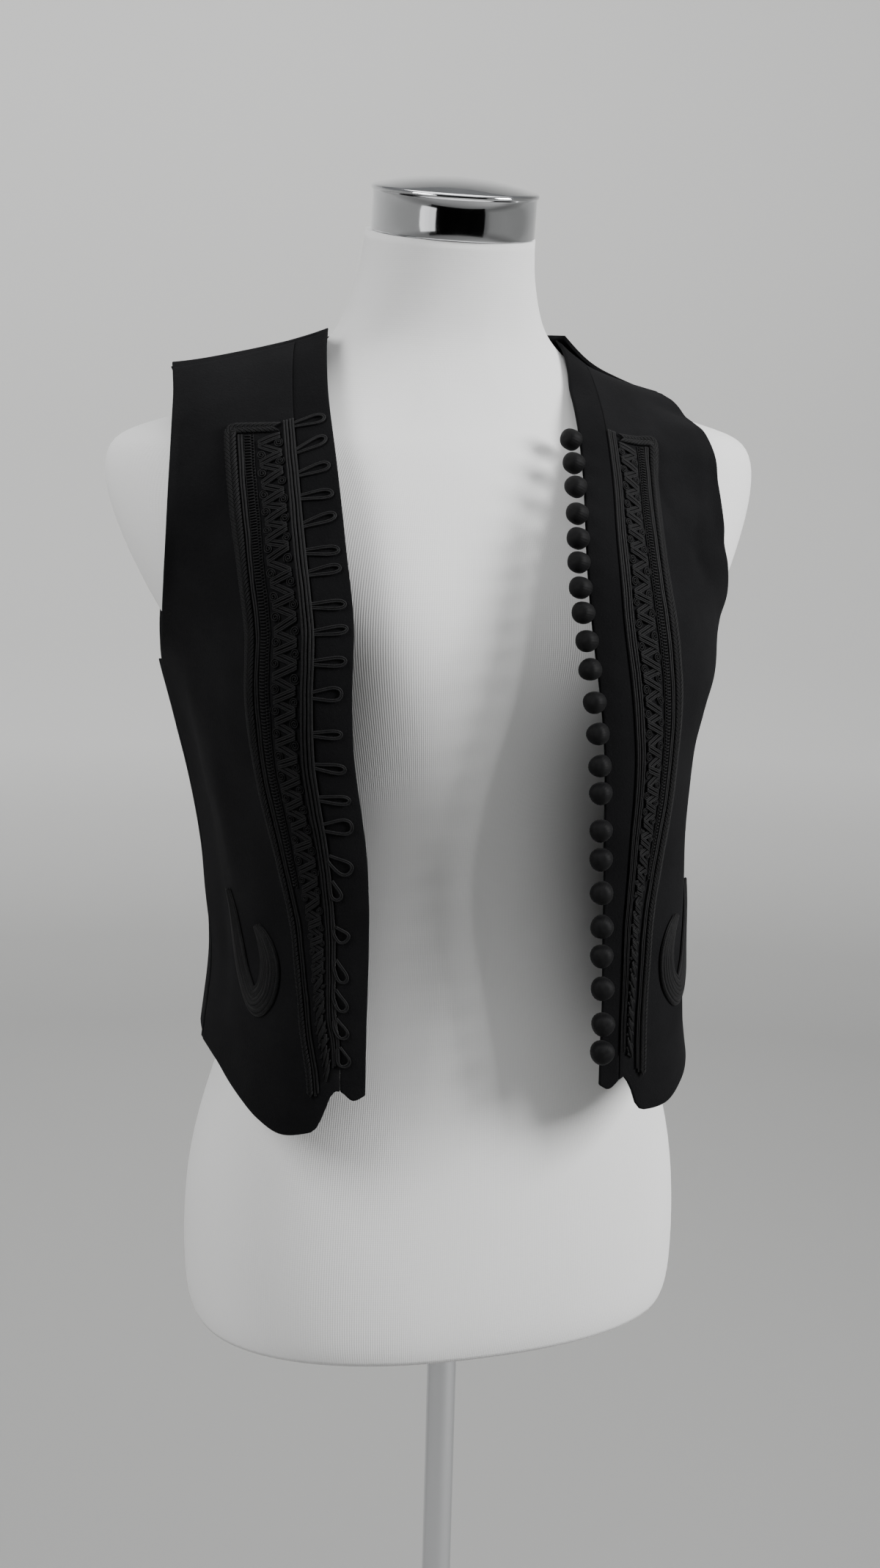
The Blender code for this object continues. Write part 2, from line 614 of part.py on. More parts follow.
class Front:
    """One front's inner face, as points in fine rows from the front edge to the side."""

    def __init__(self, rows, sign):
        self.sign = sign
        self.places = fine_places(rows)
        table = named_columns(FRONT_COLUMNS, rows)
        whole = np.arange(len(rows), dtype=float)
        hem_from = table["edge_z"][HEM_FROM_ROW]
        trim = TRIMS[sign]
        self.trim_top = TRIM_TOPS[0] if sign < 0 else TRIM_TOPS[1]
        self.top_slant = TOP_SLANTS[0] if sign < 0 else TOP_SLANTS[1]
        points, distances = [], []
        for place in self.places:
            row = {name: eased(whole, table[name], place) for name in FRONT_COLUMNS[:-1]}
            curve = section(row)
            runs = np.concatenate([[0], np.cumsum(np.linalg.norm(np.diff(curve, axis=0), axis=1))])
            lines = [eased(trim["height"], trim[name], row["edge_z"]) for name in TRIM_COLUMNS[1:]]
            plain = np.linspace(lines[-1], runs[-1], PLAIN_PARTS + 1)[1:]
            from_edge = [0.0, lines[0] / 2, *lines, *plain]
            level = []
            for distance in from_edge:
                x, y = (np.interp(distance, runs, curve[:, k]) for k in range(2))
                share = distance / runs[-1]
                z = row["edge_z"] + (row["side_z"] - row["edge_z"]) * share
                dip = SHOULDER_DIPS[0] if sign < 0 else SHOULDER_DIPS[1]
                z -= dip * 4 * share * (1 - share) * max(0.0, 1 - place / DIP_TO)
                if place > HEM_FROM_ROW:
                    down = (place - HEM_FROM_ROW) / (len(rows) - 1 - HEM_FROM_ROW)
                    hem = eased(HEM["from_edge"], HEM["height"], distance)
                    if sign < 0:
                        across = min(max((distance - LOBE_FROM) / LOBE_BREADTH, 0), 1)
                        hem -= RIGHT_LOBE_DROP * math.sin(math.pi * across)
                    start = hem_from + (table["side_z"][HEM_FROM_ROW] - hem_from) * share
                    z = start + (hem - start) * down
                level.append(clear_of_form(np.array([x * sign, y, z]), FRONT_CLEARANCE))
            points.append(level)
            distances.append(from_edge)
        points = np.array(points)
        self.distances = np.array(distances)
        out = outward_ways(points, sign)
        folds = FOLD_ROWS["left" if sign > 0 else "right"]
        for row, place in enumerate(self.places):
            for column in range(SEAM_COLUMN + len(TRIM_COLUMNS) - 1, points.shape[1] - 1):
                rise = fold_rise(folds, self.distances[row, column], place)
                points[row, column] += out[row, column] * rise
        self.points = settled(points, FRONT_CLEARANCE)
        self.outward = outward_ways(self.points, sign)

    def on_cloth(self, place, from_edge, lift):
        """A point of the cloth's inner face, moved out by lift."""
        row = np.interp(place, self.places, np.arange(len(self.places)))
        low = min(int(row), len(self.places) - 2)
        share = row - low
        distances = (1 - share) * self.distances[low] + share * self.distances[low + 1]
        column = np.interp(from_edge, distances, np.arange(len(distances)))
        left = min(int(column), len(distances) - 2)
        across = column - left
        found = np.zeros(3)
        out = np.zeros(3)
        for r, part in ((low, 1 - share), (low + 1, share)):
            for c, piece in ((left, 1 - across), (left + 1, across)):
                found += part * piece * self.points[r, c]
                out += part * piece * self.outward[r, c]
        return found + out / np.linalg.norm(out) * lift

    def line(self, name, place):
        """The distance from the front edge of a trim's line."""
        column = SEAM_COLUMN + TRIM_COLUMNS[1:].index(name)
        return np.interp(place, self.places, self.distances[:, column])

    def slanted(self, place, from_edge):
        """The place of a trim's point, raised near the trims' top so that their top line is level."""
        pair, plait = self.line("pair", place), self.line("plait", place)
        across = min(max((from_edge - pair) / (plait - pair), 0.0), 1.0)
        fade = min(max((SLANT_END - place) / (SLANT_END - self.trim_top), 0.0), 1.0)
        return place - self.top_slant * across * fade

    def place_at(self, height, from_edge):
        """The place where the cloth is at this height."""
        heights = [self.on_cloth(place, from_edge, 0)[2] for place in self.places]
        return np.interp(-height, -np.array(heights), self.places)


def sheet(name, grid, material, thickness, flip, weights=None):
    """An open sheet through a grid of points, thickened outwards."""
    rows, columns = grid.shape[:2]
    obj = mesh_object(name, grid.reshape(-1, 3), grid_faces(rows, columns, flip), material)
    thicken(obj, thickness, weights)
    return obj


def between(grid, first, last):
    """Columns first to last of a grid, its outer columns moved in by half the gap of a seam."""
    part = grid[:, first : last + 1].copy()
    for end, inner in ((0, 1), (-1, -2)):
        way = part[:, inner] - part[:, end]
        part[:, end] += way / np.linalg.norm(way, axis=1)[:, None] * (SEAM_GAP / 2)
    return part


def make_front(side, front):
    flip = front.sign < 0
    last = front.points.shape[1] - 1
    sheet("front_band_" + side, between(front.points, 0, SEAM_COLUMN), band_wool, CLOTH, flip)
    sheet("front_" + side, between(front.points, SEAM_COLUMN, last), wool, CLOTH, flip)


# The back.
def neck_and_blades(share, neckline):
    """How far back the section reaches at a share of its breadth, from 0 at its sides to 1."""
    off = 2 * share - 1
    blades = (1 - abs(off) ** BACK_FULLNESS) ** (1 / BACK_FULLNESS)
    middle = (NECK_FROM + NECK_TO) / 2
    half = (NECK_TO - NECK_FROM) / 2
    collar = math.sqrt(max(0.0, 1 - ((share - middle) / half) ** 2))
    return neckline * collar + (1 - neckline) * blades


def back_shares():
    """The columns of the back, as shares of its breadth: shoulder, neckline and shoulder."""
    ends = [(k / SHOULDER_PARTS) ** END_CROWDING for k in range(SHOULDER_PARTS)]
    right = [NECK_FROM * end for end in ends]
    round_neck = [(1 - math.cos(math.pi * k / NECK_PARTS)) / 2 for k in range(NECK_PARTS + 1)]
    middle = [NECK_FROM + (NECK_TO - NECK_FROM) * k for k in round_neck]
    left = [1 - (1 - NECK_TO) * end for end in reversed(ends)]
    return right + middle + left


def shoulder_point(front, share):
    """A point of the back's shoulder seam, a gap away from the front's. Share is 0 at its armhole."""
    from_edge = front.distances[0, -1] * (1 - share)
    seam = front.on_cloth(0, from_edge, 0)
    before = front.on_cloth(front.places[1], from_edge, 0)
    return seam + (seam - before) / np.linalg.norm(seam - before) * SHOULDER_GAP


def back_top(right, left, share):
    """A point of the back's top edge, along the shoulder seams and round behind the neck."""
    if share <= NECK_FROM:
        return shoulder_point(right, share / NECK_FROM)
    if share >= NECK_TO:
        return shoulder_point(left, (1 - share) / (1 - NECK_TO))
    along = (share - NECK_FROM) / (NECK_TO - NECK_FROM)
    start, end = shoulder_point(right, 1), shoulder_point(left, 1)
    point = start + (end - start) * along
    behind = math.sqrt(1 - (2 * along - 1) ** 2)
    point[1] += NECKLINE_DEPTH * behind
    point[2] -= NECKLINE_DROP * behind
    return point


def make_back(right, left):
    """The back, whose side and shoulder seams stand a gap from the fronts'."""
    table = named_columns(BACK_COLUMNS, BACK_ROWS)
    whole = np.arange(len(BACK_ROWS), dtype=float)
    shares = back_shares()
    grid = [[back_top(right, left, share) for share in shares]]
    for index, place in enumerate(right.places[1:], 1):
        row = {name: eased(whole, table[name], place) for name in BACK_COLUMNS}
        ends = []
        for front, name, sign in ((right, "right", -1), (left, "left", 1)):
            end = np.array([sign * row[name + "_x"], row[name + "_y"], row[name + "_z"]])
            if place >= UNDERARM_ROW:
                seam, before = front.points[index, -1], front.points[index, -2]
                end[:2] = seam[:2] + (seam - before)[:2] / np.linalg.norm(seam - before) * SEAM_GAP
                if place <= HEM_FROM_ROW:
                    end[2] = seam[2]
            ends.append(end)
        level = []
        for share in shares:
            point = ends[0] + (ends[1] - ends[0]) * share
            reach = neck_and_blades(share, row["neckline"])
            point[1] += (row["centre_y"] - (ends[0][1] + ends[1][1]) / 2) * reach
            point[2] += (row["centre_z"] - (ends[0][2] + ends[1][2]) / 2) * (1 - (2 * share - 1) ** 2)
            level.append(point)
        grid.append(level)
    grid = np.array(grid)
    out = outward_ways(grid, -1)
    for index, place in enumerate(right.places[1:], 1):
        for column in range(1, len(shares) - 1):
            rise = fold_rise(FOLD_ROWS["back"], shares[column] * BACK_BREADTH, place)
            moved = grid[index, column] + out[index, column] * rise
            grid[index, column] = clear_of_form(moved, BACK_CLEARANCE)
        for column in (0, -1):
            grid[index, column] = clear_of_form(grid[index, column], BACK_CLEARANCE)
    sheet("back", settled(grid, BACK_CLEARANCE), wool, CLOTH, True)


# The trims, each a narrow sheet made from the front's points, moved out.
def trim_places(front, start, end):
    inner = [place for place in front.places if start + 0.05 < place < end - 0.05]
    return [start, *inner, end]


def ribbon(name, front, lines, rise, material, weights, gap=TRIM_GAP):
    """A trim through lines of (place, distance from the edge), with each line's share of its rise."""
    lift = CLOTH + gap
    count = len(lines[0])
    spots = [[(front.slanted(*line[i]), line[i][1]) for line in lines] for i in range(count)]
    grid = np.array([[front.on_cloth(*spot, lift) for spot in row] for row in spots])
    return sheet(name, grid, material, rise, front.sign < 0, weights * count)


def trim_lines(front, places, inner, outer, share=(0.0, 1.0)):
    """The three lines of a straight trim between two of the front's lines."""
    lines = ([], [], [])
    for place in places:
        low, high = front.line(inner, place), front.line(outer, place)
        low, high = low + (high - low) * share[0], low + (high - low) * share[1]
        stations = (low + SEAM_GAP / 2, (low + high) / 2, high - SEAM_GAP / 2)
        for line, station in zip(lines, stations):
            line.append((place, station))
    return lines


def plait_lines(front):
    """The plait comes up outside the other trims and turns along their top."""
    breadth = PLAIT_TOP_BREADTH / TOP_SECTION_LENGTH
    corner = front.trim_top + breadth
    below = trim_places(front, corner, TRIM_END)[::-1]
    lines = trim_lines(front, below, "soutache", "plait")
    corner_in = front.line("soutache", corner) + SEAM_GAP / 2
    corner_out = front.line("plait", corner) - SEAM_GAP / 2
    width = corner_out - corner_in
    for turn in (30, 60, 90):
        sine, cosine = math.sin(math.radians(turn)), math.cos(math.radians(turn))
        for line, share in zip(lines, CORNER_SHARES):
            line.append((corner - share * breadth * sine, corner_in + share * width * cosine))
    end = front.line("pair", front.trim_top) + SEAM_GAP
    for share in (0.35, 0.7, 1.0):
        for line, up in zip(lines, CORNER_SHARES):
            line.append((corner - breadth * up, corner_in + (end - corner_in) * share))
    return lines[::-1]


def make_trims(side, front):
    below_plait = front.trim_top + (PLAIT_TOP_BREADTH + TRIM_GAP) / TOP_SECTION_LENGTH
    flat = trim_places(front, below_plait, TRIM_END)
    ladder = [place for place in flat if place <= LADDER_END]
    ribbon("plait_" + side, front, plait_lines(front), PLAIT_RISE, braid, [0.5, 1.0, 0.5])
    lines = trim_lines(front, flat, "ladder", "soutache")
    ribbon("groove_soutache_" + side, front, lines, SOUTACHE_RISE, braid, [0.5, 1.0, 0.5])
    lines = trim_lines(front, ladder, "zigzag", "ladder")
    ribbon("ladder_lace_" + side, front, lines, LADDER_RISE, braid, [0.8, 1.0, 0.8])
    lines = trim_lines(front, flat, "pair", "zigzag")
    ribbon("zigzag_braid_" + side, front, lines, ZIGZAG_RISE, braid, [0.6, 1.0, 0.6])
    whole = trim_places(front, front.trim_top, TRIM_END)
    outer = (0.0, 1.0) if side == "left" else (0.5, 1.0)
    lines = trim_lines(front, whole, "seam", "pair", outer)
    ribbon("twin_soutache_" + side, front, lines, SOUTACHE_RISE, braid, [0.5, 1.0, 0.5])
    if side == "right":
        lines = trim_lines(front, whole, "seam", "pair", (0.0, 0.5))
        strip = ribbon("loop_cord", front, lines, SOUTACHE_RISE, braid, [0.5, 1.0, 0.5])
        make_loop_cord(front, strip)


def loop_route(front, height, rise, length, bow):
    """A loop from the seam's cord across the band and back, as a teardrop."""
    root = front.line("seam", front.place_at(height, front.line("seam", UNDERARM_ROW))) + LOOP_ROOT
    sine, cosine = math.sin(math.radians(rise)), math.cos(math.radians(rise))
    ring = list(LOOP_SHAPE) + [(run, -spread) for run, spread in reversed(LOOP_SHAPE[:-1])]
    route = []
    for run, spread in ring:
        along, across = run * length, spread * bow
        from_edge = min(root - along * cosine - across * sine, root)
        level = height + along * sine - across * cosine
        place = front.place_at(level, from_edge)
        route.append(front.on_cloth(place, from_edge, CLOTH + TRIM_GAP + LOOP_CORD))
    return route


def make_loop_cord(front, strip):
    """The inner soutache of the pair, with the button loops that grow out of it."""
    curve = bpy.data.curves.new("loops", "CURVE")
    curve.dimensions = "3D"
    curve.bevel_depth = LOOP_CORD * MM
    curve.bevel_resolution = 0
    curve.use_fill_caps = True
    for row in LOOP_ROWS:
        route = loop_route(front, *row)
        spline = curve.splines.new("POLY")
        spline.points.add(len(route) - 1)
        for point, place in zip(spline.points, route):
            point.co = (*(Vector(place) * MM), 1)
    source = bpy.data.objects.new("loops_curve", curve)
    cutters.objects.link(source)
    graph = bpy.context.evaluated_depsgraph_get()
    mesh = bpy.data.meshes.new_from_object(source.evaluated_get(graph))
    bpy.data.objects.remove(source)
    edit = bmesh.new()
    edit.from_mesh(mesh)
    bmesh.ops.remove_doubles(edit, verts=edit.verts, dist=1e-6)
    edit.to_mesh(mesh)
    edit.free()
    loops = bpy.data.objects.new("loops", mesh)
    cutters.objects.link(loops)
    loops.hide_render = True
    loops.display_type = "WIRE"
    union = strip.modifiers.new("loops", "BOOLEAN")
    union.operation = "UNION"
    union.solver = "EXACT"
    union.use_self = True
    union.object = loops


def make_horn(side, front):
    """The horn-shaped motif: a broad curved ridge from a pointed tip round to a short arm."""
    table = named_columns(HORN_COLUMNS, HORN_ROWS)
    whole = np.arange(len(HORN_ROWS), dtype=float)
    places = np.linspace(0, len(HORN_ROWS) - 1, (len(HORN_ROWS) - 1) * HORN_PARTS + 1)
    middle = np.array([[eased(whole, table[k], p) for k in HORN_COLUMNS[:2]] for p in places])
    if side == "left":
        middle[:, 0] -= HORN_LEFT_SHIFT
    ways = np.gradient(middle, axis=0)
    ways /= np.linalg.norm(ways, axis=1)[:, None]
    lines = ([], [], [], [], [])
    for place, centre, way in zip(places, middle, ways):
        half = eased(whole, table["breadth"], place) / 2
        aside = np.array([-way[1], way[0]]) * half
        for line, turn in zip(lines, (-1, -0.5, 0, 0.5, 1)):
            from_edge, height = centre + aside * turn
            line.append((front.place_at(height, from_edge), from_edge))
    ribbon("horn_motif_" + side, front, lines, HORN_RISE, braid, [0.5, 0.9, 1.0, 0.9, 0.5], HORN_GAP)


def make_buttons(front):
    """Thread-covered drum buttons, each on a short neck at the edge of the wearer's left front."""
    profile = bpy.data.meshes.new("button")
    edges = [(i, i + 1) for i in range(len(BUTTON_PROFILE) - 1)]
    profile.from_pydata([(r * MM, 0, z * MM) for r, z in BUTTON_PROFILE], edges, [])
    profile.materials.append(thread)
    for index, height in enumerate(BUTTON_HEIGHTS):
        place = front.place_at(height, 0)
        edge = front.on_cloth(place, 0, CLOTH / 2)
        inner = front.on_cloth(place, front.line("seam", place) / 2, CLOTH / 2)
        out = front.on_cloth(place, 0, 1) - front.on_cloth(place, 0, 0)
        beyond = (edge - inner) / np.linalg.norm(edge - inner)
        share = index / (len(BUTTON_HEIGHTS) - 1)
        turn = BUTTON_TURNS[0] * (1 - share) + BUTTON_TURNS[1] * share
        axis = Vector(beyond * math.cos(turn) + out * math.sin(turn))
        obj = bpy.data.objects.new(f"button_{index + 1:02d}", profile)
        collection.objects.link(obj)
        screw = obj.modifiers.new("turn", "SCREW")
        screw.steps = BUTTON_SIDES
        screw.render_steps = BUTTON_SIDES
        screw.use_merge_vertices = True
        screw.merge_threshold = 1e-5
        obj.location = (Vector(edge) + axis * (NECK_GAP + CLOTH / 2 * math.sin(turn))) * MM
        obj.scale = Vector((1, 1, 1)) * (1 + BUTTON_GROWTH * share)
        obj.rotation_euler = axis.to_track_quat("Z", "Y").to_euler()


form_tree = make_dress_form()
make_stand()
make_neck_cap()
fronts = {"right": Front(FRONT_RIGHT_ROWS, -1), "left": Front(FRONT_LEFT_ROWS, 1)}
for side, front in fronts.items():
    make_front(side, front)
    make_trims(side, front)
    make_horn(side, front)
make_back(fronts["right"], fronts["left"])
make_buttons(fronts["left"])
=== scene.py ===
"""A black fulled-wool folk vest, worn open on a limbless white dress form on a pole stand.

The front faces -Y, the wearer's left is +X and up is +Z. Sizes are in millimetres unless a line says so.
"""

import math

import bmesh
import bpy
import numpy as np
from mathutils import Matrix, Vector
from mathutils.bvhtree import BVHTree


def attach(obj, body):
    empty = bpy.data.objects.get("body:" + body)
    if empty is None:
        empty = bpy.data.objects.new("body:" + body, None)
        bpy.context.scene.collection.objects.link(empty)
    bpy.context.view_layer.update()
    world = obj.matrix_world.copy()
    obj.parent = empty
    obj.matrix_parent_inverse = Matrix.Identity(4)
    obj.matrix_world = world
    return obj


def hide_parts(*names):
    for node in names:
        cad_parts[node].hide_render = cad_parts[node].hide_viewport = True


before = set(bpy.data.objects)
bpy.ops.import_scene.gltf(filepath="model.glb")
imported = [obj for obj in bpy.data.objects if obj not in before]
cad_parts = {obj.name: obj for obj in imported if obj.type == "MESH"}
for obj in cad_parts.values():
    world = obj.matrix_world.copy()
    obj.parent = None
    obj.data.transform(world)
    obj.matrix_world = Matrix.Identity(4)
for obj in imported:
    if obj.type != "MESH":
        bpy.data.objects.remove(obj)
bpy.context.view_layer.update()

# The camera stands 1.4 m away, a little to the wearer's right and at the height of the neck, and looks
# down. It was found by fitting the form's outline to the photograph of 1200 by 2138 pixels.
MM = 0.001
CAMERA_TURN = 20.0
CAMERA_REACH = 1380.0
CAMERA_HEIGHT = 1360.0
CAMERA_PITCH = 11.4
CAMERA_ROLL = 1.5
CAMERA_YAW = 0.456
FOCAL_PIXELS = 3086.0
PICTURE_HEIGHT = 2138.0
SENSOR = 36.0

stand_at, look = math.radians(CAMERA_TURN), math.radians(CAMERA_TURN - CAMERA_YAW)
pitch, roll = math.radians(CAMERA_PITCH), math.radians(CAMERA_ROLL)
ahead = Vector((math.sin(look) * math.cos(pitch), math.cos(look) * math.cos(pitch), -math.sin(pitch)))
level_right = Vector((math.cos(look), -math.sin(look), 0))
level_up = level_right.cross(ahead)
right_way = level_right * math.cos(roll) + level_up * math.sin(roll)
up_way = level_up * math.cos(roll) - level_right * math.sin(roll)
camera_data = bpy.data.cameras.new("camera")
camera_data.sensor_fit = "VERTICAL"
camera_data.sensor_height = SENSOR
camera_data.lens = FOCAL_PIXELS / PICTURE_HEIGHT * SENSOR
camera = bpy.data.objects.new("camera", camera_data)
bpy.context.scene.collection.objects.link(camera)
place = Matrix((right_way, up_way, -ahead)).transposed().to_4x4()
place.translation = Vector(
    (-CAMERA_REACH * math.sin(stand_at), -CAMERA_REACH * math.cos(stand_at), CAMERA_HEIGHT)
) * MM
camera.matrix_world = place
bpy.context.scene.camera = camera


# The studio: a pale matte cove of painted board, whose floor curves up into its wall all round, and
# soft boxes. The key light hangs high on the right, and the left side is filled gently.
COVE_PROFILE = ((10, -1), (3000, -1), (3400, 60), (3750, 260), (3960, 620), (4000, 1100), (4000, 4200))


def linear(code):
    """An sRGB hex colour as linear numbers."""
    parts = [int(code[i : i + 2], 16) / 255 for i in (1, 3, 5)]
    return (*[p / 12.92 if p <= 0.04045 else ((p + 0.055) / 1.055) ** 2.4 for p in parts], 1.0)


def add_node(tree, kind, settings=None, inputs=None):
    """Adds a shader node with its settings and its inputs, which are values or other nodes' outputs."""
    made = tree.nodes.new("ShaderNode" + kind)
    for name, value in (settings or {}).items():
        setattr(made, name, value)
    for name, value in (inputs or {}).items():
        if isinstance(value, bpy.types.NodeSocket):
            tree.links.new(value, made.inputs[name])
        else:
            made.inputs[name].default_value = value
    return made


def new_material(name, **finish):
    """A material, its node tree and its shader, with the finish set on the shader's own sockets."""
    material = bpy.data.materials.new(name)
    material.use_nodes = True
    shader = material.node_tree.nodes["Principled BSDF"]
    for socket, value in finish.items():
        shader.inputs[socket.replace("_", " ")].default_value = value
    return material, material.node_tree, shader


def turn_up(name, profile, sides):
    """A turned piece: a disc extruded ring by ring through a profile of radius and height."""
    bpy.ops.object.select_all(action="DESELECT")
    radius, height = profile[0]
    bpy.ops.mesh.primitive_circle_add(
        vertices=sides, radius=radius * MM, fill_type="NGON", location=(0, 0, height * MM)
    )
    made = bpy.context.object
    made.name = name
    bpy.ops.object.mode_set(mode="EDIT")
    for next_radius, next_height in profile[1:]:
        rise = (0, 0, (next_height - height) * MM)
        bpy.ops.mesh.extrude_region_move(TRANSFORM_OT_translate={"value": rise})
        bpy.ops.transform.resize(value=(next_radius / radius, next_radius / radius, 1))
        radius, height = next_radius, next_height
    bpy.ops.mesh.select_all(action="SELECT")
    bpy.ops.mesh.normals_make_consistent(inside=False)
    bpy.ops.object.mode_set(mode="OBJECT")
    bpy.ops.object.transform_apply(location=True, rotation=True, scale=True)
    return made


def smooth(piece, degrees):
    """Shades a piece smooth but for the edges sharper than this."""
    bpy.ops.object.select_all(action="DESELECT")
    piece.select_set(True)
    bpy.context.view_layer.objects.active = piece
    bpy.ops.object.shade_smooth_by_angle(angle=math.radians(degrees))


# Painted shade: the board is grey on the floor and pales up to its full tone between these heights, in metres.
COVE_SHADE_HEIGHTS = (0.0, 0.4)
cove_paint, tree, shader = new_material("matte painted board", Roughness=0.9, Specular_IOR_Level=0.2)
coordinates = add_node(tree, "TexCoord")
along = add_node(tree, "SeparateXYZ", None, {"Vector": coordinates.outputs["Object"]})
rise = add_node(
    tree, "MapRange", None, {"Value": along.outputs["Z"], "From Min": COVE_SHADE_HEIGHTS[0], "From Max": COVE_SHADE_HEIGHTS[1]}
)
# The floor's grey is painted shade.
tone = add_node(tree, "ValToRGB", None, {"Fac": rise.outputs["Result"]})
tone.color_ramp.elements[0].color = linear("#9C9C9B")
tone.color_ramp.elements[1].color = linear("#C8C8C7")
tree.links.new(tone.outputs["Color"], shader.inputs["Base Color"])


def opened_inward(piece, dropped):
    """Deletes the faces that the test picks, and turns the rest to face inwards."""
    bpy.ops.object.mode_set(mode="EDIT")
    bpy.ops.mesh.select_all(action="DESELECT")
    bpy.ops.object.mode_set(mode="OBJECT")
    for face in piece.data.polygons:
        face.select = dropped(face)
    bpy.ops.object.mode_set(mode="EDIT")
    bpy.ops.mesh.delete(type="FACE")
    bpy.ops.mesh.select_all(action="SELECT")
    bpy.ops.mesh.flip_normals()
    bpy.ops.object.mode_set(mode="OBJECT")


cove = turn_up("studio_cove", COVE_PROFILE, 96)
opened_inward(cove, lambda face: len(face.vertices) > 4 and face.center.z > 1)
cove.data.materials.append(cove_paint)
smooth(cove, 40)

world = bpy.data.worlds.new("studio air")
world.use_nodes = True
world.node_tree.nodes["Background"].inputs["Color"].default_value = linear("#F2F4F6")
world.node_tree.nodes["Background"].inputs["Strength"].default_value = 0.23
bpy.context.scene.world = world

# A black curtain hangs behind the camera, and shows in the chrome.
CURTAIN_RADIUS = 3.2
CURTAIN_ARC = (-46.0, 34.0)
CURTAIN_DEPTH = 3.4
curtain_cloth, tree, shader = new_material(
    "black curtain", Roughness=1.0, Specular_IOR_Level=0.0, Base_Color=linear("#070707")
)
bpy.ops.mesh.primitive_cylinder_add(
    vertices=72, radius=CURTAIN_RADIUS, depth=CURTAIN_DEPTH, end_fill_type="NOTHING",
    location=(0, 0, CURTAIN_DEPTH / 2),
)
curtain = bpy.context.object
curtain.name = "studio_curtain"
bpy.ops.object.transform_apply(location=True, rotation=True, scale=True)


def beside_the_camera(face):
    """Whether the curtain's face lies outside the arc behind the camera."""
    turn = math.degrees(math.atan2(-face.center.x, -face.center.y)) - CAMERA_TURN
    return not CURTAIN_ARC[0] < turn < CURTAIN_ARC[1]


opened_inward(curtain, beside_the_camera)
curtain.data.materials.append(curtain_cloth)

# The soft boxes: place and aim in metres, breadth and height in metres, and power in watts.
SOFT_BOXES = (
    ("key_box", (1.9, -1.5, 2.15), (0.0, 0.0, 1.1), 0.9, 1.3, 112),
    ("fill_box", (-2.0, -1.3, 1.5), (0.0, 0.0, 1.0), 1.0, 1.8, 7),
    ("left_box", (-1.8, -0.8, 2.5), (-0.1, 0.0, 1.2), 1.0, 1.2, 40),
    ("top_box", (0.2, 0.3, 3.2), (0.0, 0.0, 1.0), 1.6, 1.6, 22),
    ("wall_box", (0.3, 1.7, 2.7), (0.1, 3.9, 0.7), 2.2, 1.0, 62),
)
for name, spot, aim, breadth, height, power in SOFT_BOXES:
    data = bpy.data.lights.new(name, "AREA")
    data.shape = "RECTANGLE"
    data.size = breadth
    data.size_y = height
    data.energy = power
    lamp = bpy.data.objects.new(name, data)
    bpy.context.scene.collection.objects.link(lamp)
    lamp.location = spot
    lamp.rotation_euler = (Vector(aim) - Vector(spot)).to_track_quat("-Z", "Y").to_euler()


# The stand: a round base of satin steel plate with a socket, and a polished steel tube that carries the
# form. The socket is welded to the plate and the tube is pushed down into it.
BASE_PROFILE = (
    (188.5, 0), (189.8, 0.8), (190, 2), (190, 4.2), (189.3, 6), (187.5, 7.4), (184, 8.3), (150, 10.0),
    (114, 11.4), (60, 12.7), (22, 13), (18.6, 13.4), (17.3, 14.6), (17, 16), (17, 45), (16.6, 46.4),
    (15.4, 47), (9.9, 47), (9.8, 46), (9.8, 37.2),
)
POLE_PROFILE = ((9.5, 37.4), (9.5, 300), (9.5, 600), (9.5, 734.6))


def band_scale(period):
    """The wave texture's scale for bands that are this far apart, in the unit of its coordinates."""
    return 2 * math.pi / 20 / period


satin_steel, tree, shader = new_material("satin brushed steel", Metallic=1.0, Roughness=0.3)
# The base was turned on a lathe, so its fine brush marks run in circles, half a millimetre apart.
coordinates = add_node(tree, "TexCoord")
marks = add_node(
    tree, "TexWave", {"wave_type": "RINGS", "rings_direction": "Z"},
    {"Vector": coordinates.outputs["Object"], "Scale": band_scale(0.0005), "Distortion": 1.5, "Detail": 2.0},
)
tone = add_node(tree, "ValToRGB", None, {"Fac": marks.outputs["Fac"]})
tone.color_ramp.elements[0].color = linear("#A9A9AB")
tone.color_ramp.elements[1].color = linear("#C2C2C3")
bump = add_node(tree, "Bump", None, {"Height": marks.outputs["Fac"], "Strength": 0.12, "Distance": 0.0002})
tree.links.new(tone.outputs["Color"], shader.inputs["Base Color"])
tree.links.new(bump.outputs["Normal"], shader.inputs["Normal"])

chrome, tree, shader = new_material("polished chrome plate", Metallic=1.0, Base_Color=linear("#D9DADC"))
# Chrome is nearly a mirror, with a faint haze of fine scratches that shows as broader highlights.
coordinates = add_node(tree, "TexCoord")
haze = add_node(
    tree, "TexNoise", None, {"Vector": coordinates.outputs["Object"], "Scale": 60.0, "Detail": 5.0}
)
gloss = add_node(
    tree, "MapRange", None,
    {"Value": haze.outputs["Fac"], "From Min": 0.3, "From Max": 0.7, "To Min": 0.05, "To Max": 0.12},
)
tree.links.new(gloss.outputs["Result"], shader.inputs["Roughness"])

base = turn_up("stand_base_turned", BASE_PROFILE, 128)
pole = turn_up("stand_pole_tube", POLE_PROFILE, 64)
for piece, material, slot in ((base, satin_steel, "steel"), (pole, chrome, "chrome")):
    smooth(piece, 35)
    piece.data.materials.append(material)
    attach(piece, "root")
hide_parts("stand_base")
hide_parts("stand_pole")


